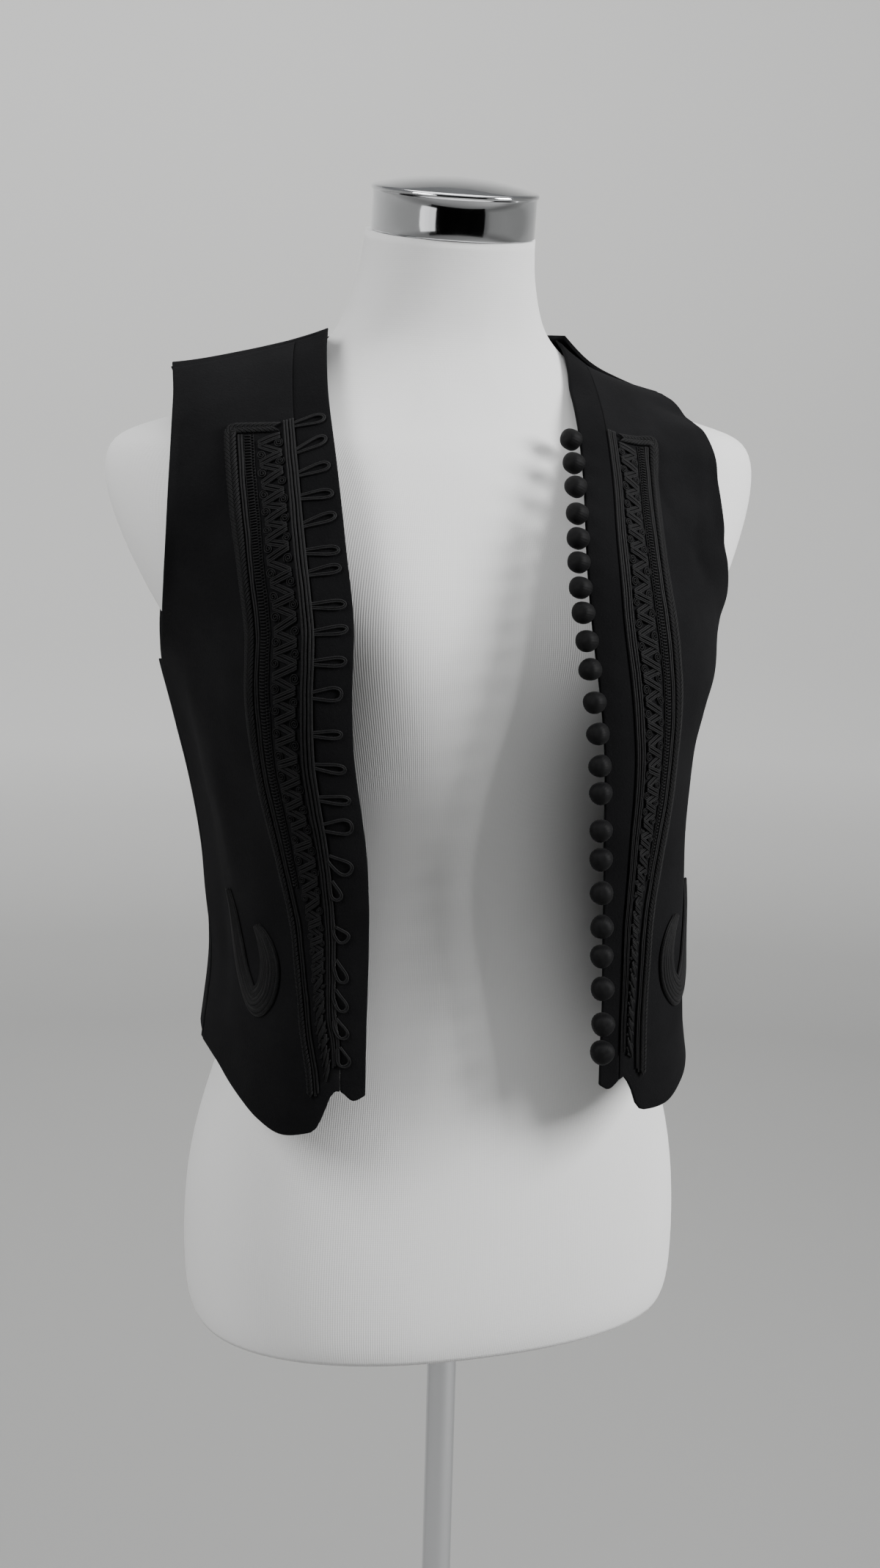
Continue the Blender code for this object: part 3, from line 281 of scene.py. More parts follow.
# The neck cap: a spun chrome-plated lid with a rolled bead round its rim and a shallow dome. It sits on the
# neck's tilted top and mirrors the room.
NECK_TILT = math.radians(7.5)
NECK_TOP = (0.0, 36.0, 1415.8)
CAP_PROFILE = (
    (49.0, 0.05), (49.6, 0.3), (49.8, 0.9), (49.8, 8), (49.75, 16), (49.8, 23.2), (50.1, 23.8), (50.6, 24.2),
    (51, 24.9), (51, 25.7), (50.7, 26.3), (50, 26.8), (48.5, 27.3), (45, 28.2), (40, 29.4), (33, 30.8), (25, 32),
    (16, 32.9), (8, 33.4), (1, 33.5),
)
cap = turn_up("neck_cap_spun", CAP_PROFILE, 128)
cap.location = Vector(NECK_TOP) * MM
cap.rotation_euler = (NECK_TILT, 0, 0)
bpy.ops.object.transform_apply(location=True, rotation=True, scale=True)
smooth(cap, 50)
cap.data.materials.append(chrome)
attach(cap, "root")
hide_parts("neck_cap")


# The dress form: a hard shell under a tight cover of white knitted jersey. The cover is pulled down
# over it and drawn closed underneath, and has one seam down the middle of its back.
JERSEY_SIDE = 36.0
JERSEY_GIRTH = 160.0


def copied(node_name, name):
    """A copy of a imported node's mesh in one piece, with its triangles joined to quads."""
    made = bpy.data.objects.new(name, bpy.data.objects[node_name].data.copy())
    bpy.context.scene.collection.objects.link(made)
    made.data.materials.clear()
    bpy.ops.object.select_all(action="DESELECT")
    made.select_set(True)
    bpy.context.view_layer.objects.active = made
    bpy.ops.object.mode_set(mode="EDIT")
    bpy.ops.mesh.select_all(action="SELECT")
    bpy.ops.mesh.remove_doubles(threshold=0.00002)
    bpy.ops.mesh.tris_convert_to_quads(face_threshold=math.radians(60), shape_threshold=math.radians(60))
    bpy.ops.object.mode_set(mode="OBJECT")
    return made


def subdivided(piece, levels, sharper_than):
    """Rounds a piece by subdivision, but keeps the edges that are sharper than this many degrees."""
    edit = bmesh.new()
    edit.from_mesh(piece.data)
    crease = edit.edges.layers.float.get("crease_edge") or edit.edges.layers.float.new("crease_edge")
    for edge in edit.edges:
        edge[crease] = 1.0 if edge.calc_face_angle(0) > math.radians(sharper_than) else 0.0
    edit.to_mesh(piece.data)
    edit.free()
    rounded = piece.modifiers.new("rounded", "SUBSURF")
    rounded.levels = levels
    rounded.render_levels = levels
    bpy.context.view_layer.objects.active = piece
    bpy.ops.object.modifier_apply(modifier="rounded")
    piece.data.shade_smooth()


jersey, tree, shader = new_material(
    "white knitted jersey", Roughness=0.92, Specular_IOR_Level=0.25, Sheen_Weight=0.12, Sheen_Roughness=0.5
)
# The jersey's columns of stitches run up the form, drawn 1.6 mm apart so that they show.
coordinates = add_node(tree, "UVMap", {"uv_map": "girth"})
columns = add_node(
    tree, "TexWave", {"bands_direction": "X"},
    {"Vector": coordinates.outputs["UV"], "Scale": band_scale(1.6), "Distortion": 0.4, "Detail": 1.0},
)
courses = add_node(
    tree, "TexWave", {"bands_direction": "Y"},
    {"Vector": coordinates.outputs["UV"], "Scale": band_scale(1.2), "Distortion": 0.6, "Detail": 1.0},
)
knit = add_node(
    tree, "Math", {"operation": "MULTIPLY_ADD"},
    {0: courses.outputs["Fac"], 1: 0.35, 2: columns.outputs["Fac"]},
)
cloudy = add_node(
    tree, "TexNoise", None, {"Vector": coordinates.outputs["UV"], "Scale": 0.012, "Detail": 3.0}
)
tone = add_node(tree, "ValToRGB", None, {"Fac": cloudy.outputs["Fac"]})
tone.color_ramp.elements[0].color = linear("#E3E3E2")
tone.color_ramp.elements[1].color = linear("#ECECEC")
bump = add_node(tree, "Bump", None, {"Height": knit.outputs["Value"], "Strength": 0.35, "Distance": 0.0002})
tree.links.new(tone.outputs["Color"], shader.inputs["Base Color"])
tree.links.new(bump.outputs["Normal"], shader.inputs["Normal"])

form = copied("dress_form", "dress_form_cover")
edit = bmesh.new()
edit.from_mesh(form.data)
form_tree = BVHTree.FromPolygons(
    [v.co * 1000 for v in edit.verts], [[v.index for v in f.verts] for f in edit.faces]
)
edit.free()
subdivided(form, 2, 62)
girth = form.data.uv_layers.new(name="girth")
for loop in form.data.loops:
    point = form.data.vertices[loop.vertex_index].co * 1000
    turn = math.atan2(point.x, JERSEY_SIDE - point.y)
    girth.data[loop.index].uv = (turn * JERSEY_GIRTH, point.z)
for face in form.data.polygons:
    turns = [girth.data[i].uv[0] for i in face.loop_indices]
    if max(turns) - min(turns) > JERSEY_GIRTH * math.pi:
        for i in face.loop_indices:
            if girth.data[i].uv[0] < 0:
                girth.data[i].uv[0] += 2 * math.pi * JERSEY_GIRTH
form.data.materials.append(jersey)
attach(form, "root")
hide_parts("dress_form")


# The fronts: one piece of thick fulled wool for each side, cut with a curved armhole and a hem with a tab,
# a notch and a round lobe, and a band of closer, darker wool sewn along its front edge. The cloth is
# stiff and nearly felted, so it stands off the form with only soft, broad folds, and its edges are raw.
CLOTH = 2.4
FRONT_CLEARANCE = 1.9
BETWEEN_POINTS = 0.3
FRONT_COLUMNS = (
    "side_x", "side_y", "side_z", "edge_x", "edge_y", "edge_z", "side_turn", "edge_turn", "parts",
)
FRONT_RIGHT_ROWS = (
    (174, 32, 1331, 80, 28, 1354, 90, 0, 3),
    (177, 16, 1316, 87, 6, 1342, 80, 0, 3),
    (184, -8, 1290, 95, -26, 1318, 70, 5, 3),
    (190, -26, 1252, 101, -66, 1280, 60, 10, 3),
    (191, -24, 1215, 104, -95, 1236, 45, 5, 2),
    (187, -6, 1184, 103, -107, 1196, 25, 0, 2),
    (180, 22, 1162, 104, -109, 1160, 10, 0, 2),
    (169, 24, 1120, 101, -107, 1118, 5, 0, 2),
    (157, 26, 1070, 92.5, -104, 1070, 0, 0, 2),
    (150, 28, 1020, 89, -102, 1020, 0, 0, 2),
    (146.5, 29, 975, 89.5, -102, 975, 0, 0, 3),
    (152, 29, 920, 89.5, -102, 922, 0, 0, 0),
)
FRONT_LEFT_ROWS = (
    (144, 38, 1320, 65, 34, 1346, 90, 0, 3),
    (148, 20, 1312, 63, 10, 1338, 80, 0, 3),
    (150.5, -2, 1289, 56, -28, 1316, 70, 5, 3),
    (149.5, -20, 1256, 47, -66, 1284, 60, 8, 3),
    (156, -24, 1220, 38, -97, 1244, 46, 5, 2),
    (169, -4, 1186, 36.5, -112, 1202, 28, 0, 2),
    (174, 22, 1150, 41, -118, 1160, 17, 0, 2),
    (155, 24, 1112, 45, -121, 1118, 14, 0, 2),
    (145, 26, 1062, 46.5, -121, 1070, 11, 0, 2),
    (144.5, 28, 1015, 48, -121, 1020, 10, 0, 2),
    (149, 29, 970, 49.5, -121, 975, 9, 0, 3),
    (158, 29, 918, 50, -120, 922, 9, 0, 0),
)
SHOULDER_DIPS = {-1: 2.5, 1: 2.0}
DIP_TO = 1.5
HANDLE_REACH = 0.4
SEAM_COLUMN = 2
PLAIN_PARTS = 7
HEM_FROM_ROW = 9
TRIM_COLUMNS = ("height", "seam", "pair", "zigzag", "ladder", "soutache", "plait")
TRIM_ROWS = {
    -1: (
        (925, 14.5, 18.8, 23.2, 24.8, 27.6, 31.8),
        (958, 15.6, 19.8, 25.6, 27.2, 30.0, 34.0),
        (980, 18.0, 22.4, 29.5, 31.3, 34.0, 38.0),
        (1030, 19.5, 24.5, 36.5, 39.3, 42.0, 46.2),
        (1062, 21.0, 26.6, 41.0, 45.3, 48.2, 53.2),
        (1100, 21.8, 28.5, 43.8, 49.3, 52.3, 58.5),
        (1160, 21.5, 28.0, 45.7, 52.0, 54.8, 62.5),
        (1240, 21.5, 28.0, 45.0, 51.5, 54.5, 62.5),
        (1356, 20.0, 26.5, 42.0, 48.0, 51.0, 58.5),
    ),
    1: (
        (925, 12.5, 16.0, 22.2, 23.6, 26.2, 31.5),
        (978, 11.8, 15.4, 21.5, 22.9, 25.4, 30.5),
        (1020, 13.2, 17.2, 24.5, 26.0, 28.7, 34.0),
        (1062, 16.2, 20.8, 31.5, 34.3, 37.3, 43.8),
        (1100, 19.0, 24.5, 38.0, 42.5, 45.6, 52.3),
        (1160, 20.5, 26.5, 43.5, 49.5, 52.6, 60.3),
        (1240, 20.5, 26.5, 43.0, 49.5, 52.6, 60.3),
        (1356, 19.0, 25.0, 40.0, 45.5, 48.5, 56.0),
    ),
}
# Where the trims start and end, in sections from the top. Their top line rises from the pair to the
# plait by the slant, which fades to nothing lower down.
TRIM_TOPS = {-1: 2.2, 1: 2.35}
TOP_SLANTS = {-1: 0.24, 1: 0.11}
SLANT_END, LADDER_END, TRIM_END = 3.2, 8.5, 10.67
PLAIT_TOP_BREADTH = 8.0
HEM_ROWS = (
    (0, 922), (4, 919), (8, 919.5), (14.5, 925), (18.8, 924.5), (23, 914), (27, 905),
    (32, 901.5), (42, 898.7), (57.5, 901.3), (73.5, 906), (93.5, 911), (115, 914), (155, 920),
)
RIGHT_LOBE = (14.0, 110.0, 6.3)
# The soft folds: across and down where each starts and ends, its rise and its half width. Down is
# counted in sections of 44 mm, and a negative rise is a hollow.
SECTION_LENGTH = 44.0
FOLD_ROWS = {
    -1: ((126, 5.9, 84, 9.2, 3.0, 15), (150, 6.6, 118, 10.6, -2.0, 16), (95, 1.2, 112, 4.6, -1.8, 18)),
    1: ((92, 6.2, 78, 10.4, 2.2, 15), (118, 1.0, 104, 4.8, -1.8, 18), (125, 6.8, 112, 10.8, -2.0, 16)),
}
# The fine grid from which all that lies on a front is placed.
FINE_ROWS = 241
FINE_COLUMNS = 181
TRIM_COLUMN_SHARE = 0.25


def table_of(columns, rows):
    """A table's columns by name."""
    return dict(zip(columns, np.array(rows, float).T))


def curve_through(xs, ys, x):
    """The smooth curve through a table's points, read at one or at many places."""
    xs, ys, x = np.asarray(xs, float), np.asarray(ys, float), np.asarray(x, float)
    i = np.clip(np.searchsorted(xs, x) - 1, 0, len(xs) - 2)
    before = np.maximum(np.arange(len(xs)) - 1, 0)
    after = np.minimum(np.arange(len(xs)) + 1, len(xs) - 1)
    tail = (1,) * (ys.ndim - 1)
    slopes = (ys[after] - ys[before]) / (xs[after] - xs[before]).reshape((-1, *tail))
    step = xs[i + 1] - xs[i]
    t = np.clip((x - xs[i]) / step, 0, 1).reshape((*x.shape, *tail))
    step = step.reshape(t.shape)
    start = (1 + 2 * t) * (1 - t) ** 2 * ys[i] + t * (1 - t) ** 2 * step * slopes[i]
    return start + t * t * (3 - 2 * t) * ys[i + 1] + t * t * (t - 1) * step * slopes[i + 1]


def form_gap(point):
    """How far a point stands out from the dress form, and the way out."""
    nearest, normal, _, distance = form_tree.find_nearest(Vector(point))
    way = Vector(point) - nearest
    inside = way.dot(normal) < 0
    out = normal if distance < 0.01 else (-way if inside else way)
    return (-distance if inside else distance), np.array(out.normalized())


def clear_of_form(point):
    """The point itself, or where it is moved straight out to stay clear of the dress form."""
    for _ in range(6):
        gap, out = form_gap(point)
        if gap >= FRONT_CLEARANCE:
            break
        point = point + out * (FRONT_CLEARANCE - gap)
    return point


def settled(grid):
    """Moves the corners of a grid's cells out until the middles of the cells are clear as well."""
    for _ in range(5):
        needs = np.zeros(grid.shape[:2])
        for row in range(grid.shape[0] - 1):
            for column in range(grid.shape[1] - 1):
                cell = grid[row : row + 2, column : column + 2]
                halves = [cell[0], cell[1], cell[:, 0], cell[:, 1], cell.reshape(4, 3)]
                gap = min(form_gap(points.mean(axis=0))[0] for points in halves)
                corners = needs[row : row + 2, column : column + 2]
                np.maximum(corners, FRONT_CLEARANCE - BETWEEN_POINTS - gap, out=corners)
        for row, column in zip(*np.nonzero(needs)):
            grid[row, column] += form_gap(grid[row, column])[1] * needs[row, column]
    return grid


def section(row):
    """Points of a section of the cloth from its front edge to its side, close together."""
    edge = np.array([row["edge_x"], row["edge_y"]])
    side = np.array([row["side_x"], row["side_y"]])
    reach = HANDLE_REACH * np.linalg.norm(side - edge)
    edge_turn, side_turn = math.radians(row["edge_turn"]), math.radians(row["side_turn"])
    edge_handle = edge + reach * np.array([math.cos(edge_turn), math.sin(edge_turn)])
    side_handle = side - reach * np.array([math.sin(side_turn), math.cos(side_turn)])
    t = np.linspace(0, 1, 80)[:, None]
    points = (1 - t) ** 3 * edge + 3 * (1 - t) ** 2 * t * edge_handle
    return points + 3 * (1 - t) * t * t * side_handle + t**3 * side


def fold_rise(folds, across, place):
    """How far the folds lift the cloth at a place."""
    point = np.array([across, place * SECTION_LENGTH])
    rise = 0.0
    for across_1, place_1, across_2, place_2, height, half_width in folds:
        start = np.array([across_1, place_1 * SECTION_LENGTH])
        run = np.array([across_2, place_2 * SECTION_LENGTH]) - start
        along = min(max((point - start).dot(run) / run.dot(run), 0.0), 1.0)
        off = np.linalg.norm(point - start - run * along) / half_width
        rise += height * math.sin(math.pi * (0.08 + 0.84 * along)) * math.exp(-off * off)
    return rise


def outward_ways(points, sign):
    """The unit vectors out of a grid of points, sign being 1 where its columns run to the left."""
    out = np.cross(np.gradient(points, axis=1), np.gradient(points, axis=0)) * -sign
    return out / np.linalg.norm(out, axis=2)[:, :, None]


def ripple(points):
    """The cloth's slight unevenness, about a third of a millimetre high."""
    waves = ((0.061, 0.043, 0.052, 0.4), (-0.083, 0.036, 0.079, 1.9), (0.117, -0.07, -0.101, 4.1))
    return sum(0.13 * (1 + np.sin(points @ np.array(wave[:3]) + wave[3])) for wave in waves)


class Front:
    """One front's cloth, from which its pieces and all that lies on them take their places."""

    def __init__(self, rows, sign):
        self.sign = sign
        table = table_of(FRONT_COLUMNS, rows)
        trim, hem_table = np.array(TRIM_ROWS[sign], float).T, np.array(HEM_ROWS, float).T
        whole = np.arange(len(rows), dtype=float)
        places = [0.0]
        for index, row in enumerate(rows[:-1]):
            places += [index + (k + 1) / row[-1] for k in range(row[-1])]
        hem_from = table["edge_z"][HEM_FROM_ROW]
        points, distances = [], []
        for place in places:
            row = {name: float(curve_through(whole, table[name], place)) for name in FRONT_COLUMNS[:-1]}
            curve = section(row)
            runs = np.concatenate([[0], np.cumsum(np.linalg.norm(np.diff(curve, axis=0), axis=1))])
            lines = [float(curve_through(trim[0], line, row["edge_z"])) for line in trim[1:]]
            plain = np.linspace(lines[-1], runs[-1], PLAIN_PARTS + 1)[1:]
            from_edge = [0.0, lines[0] / 2, *lines, *plain]
            level = []
            for distance in from_edge:
                x, y = (np.interp(distance, runs, curve[:, k]) for k in range(2))
                share = distance / runs[-1]
                z = row["edge_z"] + (row["side_z"] - row["edge_z"]) * share
                z -= SHOULDER_DIPS[sign] * 4 * share * (1 - share) * max(0.0, 1 - place / DIP_TO)
                if place > HEM_FROM_ROW:
                    down = (place - HEM_FROM_ROW) / (len(rows) - 1 - HEM_FROM_ROW)
                    hem = float(curve_through(*hem_table, distance))
                    if sign < 0:
                        start, breadth, drop = RIGHT_LOBE
                        hem -= drop * math.sin(math.pi * min(max((distance - start) / breadth, 0), 1))
                    start = hem_from + (table["side_z"][HEM_FROM_ROW] - hem_from) * share
                    z = start + (hem - start) * down
                level.append(clear_of_form(np.array([x * sign, y, z])))
            points.append(level)
            distances.append(from_edge)
        points, distances = np.array(points), np.array(distances)
        out = outward_ways(points, sign)
        for row, place in enumerate(places):
            for column in range(SEAM_COLUMN + len(TRIM_COLUMNS) - 1, points.shape[1] - 1):
                rise = fold_rise(FOLD_ROWS[sign], distances[row, column], place)
                points[row, column] += out[row, column] * rise
        points = settled(points)
        reach = distances / distances[:, -1:]
        shares = np.linspace(0, 1, FINE_COLUMNS)
        fine_places = np.linspace(0, places[-1], FINE_ROWS)
        wide = np.array([curve_through(reach[r], points[r], shares) for r in range(len(places))])
        self.grid = curve_through(places, wide, fine_places)
        self.grid += outward_ways(self.grid, sign) * ripple(self.grid)[:, :, None]
        self.out = outward_ways(self.grid, sign)
        self.breadth = curve_through(places, distances[:, -1], fine_places)
        column = self.grid[:, round(TRIM_COLUMN_SHARE * FINE_COLUMNS)]
        self.down = np.concatenate([[0], np.cumsum(np.linalg.norm(np.diff(column, axis=0), axis=1))])
        self.length = self.down[-1]
        self.lines = {
            name: curve_through(places, distances[:, SEAM_COLUMN + i], fine_places)
            for i, name in enumerate(TRIM_COLUMNS[1:])
        }
        self.section_at = np.interp(np.arange(len(rows)), fine_places, self.down)
        self.trim_top, self.slant_end, self.ladder_end, self.trim_end = (
            float(np.interp(place, whole, self.section_at))
            for place in (TRIM_TOPS[sign], SLANT_END, LADDER_END, TRIM_END)
        )
        self.plait_top = self.trim_top + PLAIT_TOP_BREADTH
        self.slant = TOP_SLANTS[sign] * (self.section_at[3] - self.section_at[2])

    def at(self, from_edge, down, lift):
        """Places on the cloth and the ways out there: from its edge, down it, and off its inner face."""
        from_edge, down = np.broadcast_arrays(np.asarray(from_edge, float), np.asarray(down, float))
        row = np.interp(down, self.down, np.arange(FINE_ROWS))
        low = np.minimum(row.astype(int), FINE_ROWS - 2)
        part = (row - low)[..., None]
        share = np.clip(from_edge / np.interp(down, self.down, self.breadth), 0, 1)
        column = share * (FINE_COLUMNS - 1)
        left = np.minimum(column.astype(int), FINE_COLUMNS - 2)
        across = (column - left)[..., None]

        def read(grid):
            upper = grid[low, left] * (1 - across) + grid[low, left + 1] * across
            lower = grid[low + 1, left] * (1 - across) + grid[low + 1, left + 1] * across
            return upper * (1 - part) + lower * part

        found, out = read(self.grid), read(self.out)
        out = out / np.linalg.norm(out, axis=-1)[..., None]
        return found + out * np.broadcast_to(lift, down.shape)[..., None], out

    def line(self, name, down):
        """The distance from the front edge of a trim's line."""
        return np.interp(down, self.down, self.lines[name])

    def slanted(self, from_edge, down):
        """How far down a trim's point is, raised near the trims' top so that their top line is level."""
        pair, plait = self.line("pair", down), self.line("plait", down)
        across = np.clip((from_edge - pair) / (plait - pair), 0, 1)
        faded = np.clip((self.slant_end - down) / (self.slant_end - self.trim_top), 0, 1)
        return down - self.slant * across * faded

    def down_at(self, height, from_edge):
        """How far down the cloth it reaches a height."""
        heights = self.at(np.full(FINE_ROWS, from_edge), self.down, 0)[0][:, 2]
        return float(np.interp(-height, -heights, self.down))


def sheet_of(name, grid, sign, material, thickness=CLOTH):
    """A panel through a grid of points on its inner face, thickened outwards and softened at its edges."""
    rows, columns = grid.shape[:2]
    index = np.arange(rows * columns).reshape(rows, columns)
    quads = np.stack([index[:-1, :-1], index[1:, :-1], index[1:, 1:], index[:-1, 1:]], -1).reshape(-1, 4)
    if sign < 0:
        quads = quads[:, ::-1]
    mesh = bpy.data.meshes.new(name)
    mesh.from_pydata((grid.reshape(-1, 3) * MM).tolist(), [], quads.tolist())
    mesh.materials.append(material)
    made = bpy.data.objects.new(name, mesh)
    bpy.context.scene.collection.objects.link(made)
    wall = made.modifiers.new("wall", "SOLIDIFY")
    wall.thickness = thickness * MM
    wall.offset = 1
    wall.use_even_offset = False
    edge = made.modifiers.new("raw edge", "BEVEL")
    edge.width = 0.32 * thickness * MM
    edge.segments = 2
    edge.limit_method = "ANGLE"
    edge.angle_limit = math.radians(50)
    bpy.context.view_layer.objects.active = made
    for modifier in ("wall", "raw edge"):
        bpy.ops.object.modifier_apply(modifier=modifier)
    mesh.shade_smooth()
    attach(made, "root")
    return made


def fulled_wool(name, dark, light, nap):
    """Fulled wool: a matte, nearly felted black cloth that drinks the light, with a short soft nap."""
    material, tree, shader = new_material(
        name, Roughness=1.0, Specular_IOR_Level=0.06, Sheen_Weight=nap, Sheen_Roughness=0.6,
        Sheen_Tint=linear("#8C8C90"),
    )
    coordinates = add_node(tree, "TexCoord")
    where = coordinates.outputs["Object"]
    # Fibres felt into clumps a millimetre and a half across, over a cloudier tone some 40 mm across.
    clumps = add_node(
        tree, "TexNoise", None, {"Vector": where, "Scale": 650.0, "Detail": 4.0, "Roughness": 0.7}
    )
    clouds = add_node(tree, "TexNoise", None, {"Vector": where, "Scale": 24.0, "Detail": 3.0})
    mixed = add_node(
        tree, "Math", {"operation": "MULTIPLY_ADD"},
        {0: clumps.outputs["Fac"], 1: 0.5, 2: clouds.outputs["Fac"]},
    )
    tone = add_node(tree, "ValToRGB", None, {"Fac": mixed.outputs["Value"]})
    tone.color_ramp.elements[0].position, tone.color_ramp.elements[1].position = 0.55, 0.95
    tone.color_ramp.elements[0].color = linear(dark)
    tone.color_ramp.elements[1].color = linear(light)
    fibres = add_node(tree, "TexNoise", None, {"Vector": where, "Scale": 1500.0, "Detail": 3.0})
    height = add_node(
        tree, "Math", {"operation": "MULTIPLY_ADD"},
        {0: fibres.outputs["Fac"], 1: 0.5, 2: clumps.outputs["Fac"]},
    )
    bump = add_node(
        tree, "Bump", None, {"Height": height.outputs["Value"], "Strength": 0.7, "Distance": 0.0006}
    )
    tree.links.new(tone.outputs["Color"], shader.inputs["Base Color"])
    tree.links.new(bump.outputs["Normal"], shader.inputs["Normal"])
    return material


wool = fulled_wool("black fulled wool", "#0F0F10", "#151516", 0.04)
band_wool = fulled_wool("close black band wool", "#0C0C0D", "#111112", 0.03)

fronts = {"right": Front(FRONT_RIGHT_ROWS, -1), "left": Front(FRONT_LEFT_ROWS, 1)}
BAND_COLUMNS, PANEL_COLUMNS, CLOTH_ROWS = 8, 56, 181
# Each front's cut: its band and its panel over its breadth and length, with the curves of its armhole and hem.
for side, front in fronts.items():
    down = np.linspace(0, front.length, CLOTH_ROWS)[:, None]
    seam = front.line("seam", down)
    breadth = np.interp(down, front.down, front.breadth)
    band = front.at(seam * np.linspace(0, 1, BAND_COLUMNS + 1)[None], down, 0)[0]
    panel = front.at(seam + (breadth - seam) * np.linspace(0, 1, PANEL_COLUMNS + 1)[None], down, 0)[0]
    piece = sheet_of(f"front_band_{side}_cloth", band, front.sign, band_wool)
    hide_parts("front_band_" + side)
    piece = sheet_of(f"front_{side}_cloth", panel, front.sign, wool)
    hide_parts("front_" + side)


# The back: one piece of the same wool, sewn to the fronts at the shoulders and the sides. It is plain,
# and falls from the shoulder blades in broad soft folds to a straight hem.
back = copied("back", "back_cloth")
subdivided(back, 2, 55)
back.data.materials.append(wool)
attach(back, "root")
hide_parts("back")

# The seams' turnings: strips of the wool pressed open inside the shoulder and side seams.
TURNING = 6.0
for side, front in fronts.items():
    side_rows = np.arange(FINE_ROWS)[front.down >= front.section_at[6]]
    inner = front.grid[side_rows, -1] - front.grid[side_rows, -6]
    inner /= np.linalg.norm(inner, axis=1)[:, None]
    side_strip = front.grid[side_rows, -1][:, None]
    side_strip = side_strip + inner[:, None] * np.linspace(-TURNING, TURNING, 7)[None, :, None]
    side_strip += front.out[side_rows, -1][:, None] * 0.5
    rise = front.grid[0] - front.grid[3]
    rise /= np.linalg.norm(rise, axis=1)[:, None]
    shoulder = front.grid[0][None] + rise[None] * np.linspace(TURNING, -TURNING, 7)[:, None, None]
    shoulder += front.out[0][None] * 0.5
    for name, grid in (("side_seam_", side_strip), ("shoulder_seam_", shoulder)):
        piece = sheet_of(name + side, grid, front.sign, wool, 1.2)


# The plait: the broadest trim, a flat plait of black silk cords, two threads to a strand, sewn down by
# its middle. It climbs outside the other trims and turns along their top, its chevrons pointing down.
STRAND_STEP = 2.6
THREADS_IN_STRAND = (0.0, 1.0)
PLAIT_SLANT = 1.5


class Braiding:
    """Gathers threads and cords, each a tube along points on the cloth, into one mesh."""

    def __init__(self):
        self.points, self.quads, self.ends, self.marks, self.count = [], [], [], [], 0

    def lay(self, centres, outs, breadth, height, sides=6, turn=1.0):
        """Adds tubes: centres and ways out are (tubes, points, 3), breadth and height are half sizes."""
        ways = np.gradient(centres, axis=1)
        across = np.cross(ways, outs)
        across /= np.linalg.norm(across, axis=2)[..., None] + 1e-9
        up = np.cross(across, ways)
        up /= np.linalg.norm(up, axis=2)[..., None] + 1e-9
        turns = 2 * math.pi * np.arange(sides) / sides
        breadth = np.broadcast_to(breadth, centres.shape[:2])[:, :, None, None]
        height = np.broadcast_to(height, centres.shape[:2])[:, :, None, None]
        ring = np.cos(turns)[:, None] * across[:, :, None] * breadth
        ring = ring + np.sin(turns)[:, None] * up[:, :, None] * height
        index = self.count + np.arange(ring.shape[0] * ring.shape[1] * sides).reshape(ring.shape[:3])
        near, far = index[:, :-1], index[:, 1:]
        quads = np.stack([near, far, np.roll(far, -1, axis=2), np.roll(near, -1, axis=2)], -1)
        steps = np.linalg.norm(np.diff(centres, axis=1), axis=2)
        along = np.concatenate([np.zeros((len(steps), 1)), np.cumsum(steps, axis=1)], axis=1)
        first, last = (np.repeat(part[:, :, None], sides, axis=2) for part in (along[:, :-1], along[:, 1:]))
        low = np.broadcast_to(np.arange(sides) / sides * turn, first.shape)
        high = low + turn / sides
        corners = [np.stack(pair, -1) for pair in ((first, low), (last, low), (last, high), (first, high))]
        self.points.append((centres[:, :, None] + ring).reshape(-1, 3))
        self.quads.append(quads.reshape(-1, 4))
        self.marks.append(np.stack(corners, -2).reshape(-1, 2))
        self.ends += [*index[:, 0].tolist(), *index[:, -1, ::-1].tolist()]
        self.count += index.size

    def on(self, front, from_edge, down, lift, breadth, height, sides=6, turn=1.0):
        """Adds tubes that follow a front's cloth, from arrays of (tubes, points) or of points."""
        from_edge, down, lift = (np.atleast_2d(part) for part in (from_edge, down, lift))
        from_edge, down, lift = np.broadcast_arrays(from_edge, down, lift)
        points, out = front.at(from_edge, front.slanted(from_edge, down), CLOTH + lift)
        self.lay(points, out, breadth, height, sides, turn)

    def made(self, name, material, slot, replaced=()):
        """The piece itself, with a thread map of millimetres along and turns around."""
        points, quads = np.concatenate(self.points) * MM, np.concatenate(self.quads)
        mesh = bpy.data.meshes.new(name)
        mesh.from_pydata(points.tolist(), [], quads.tolist() + self.ends)
        corners = np.zeros((len(mesh.loops), 2))
        marks = np.concatenate(self.marks)
        corners[: len(marks)] = marks
        mesh.uv_layers.new(name="thread").data.foreach_set("uv", corners.ravel())
        mesh.materials.append(material)
        mesh.shade_smooth()
        made = bpy.data.objects.new(name, mesh)
        bpy.context.scene.collection.objects.link(made)
        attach(made, "root")
        if replaced:
            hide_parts(*replaced)
        return made


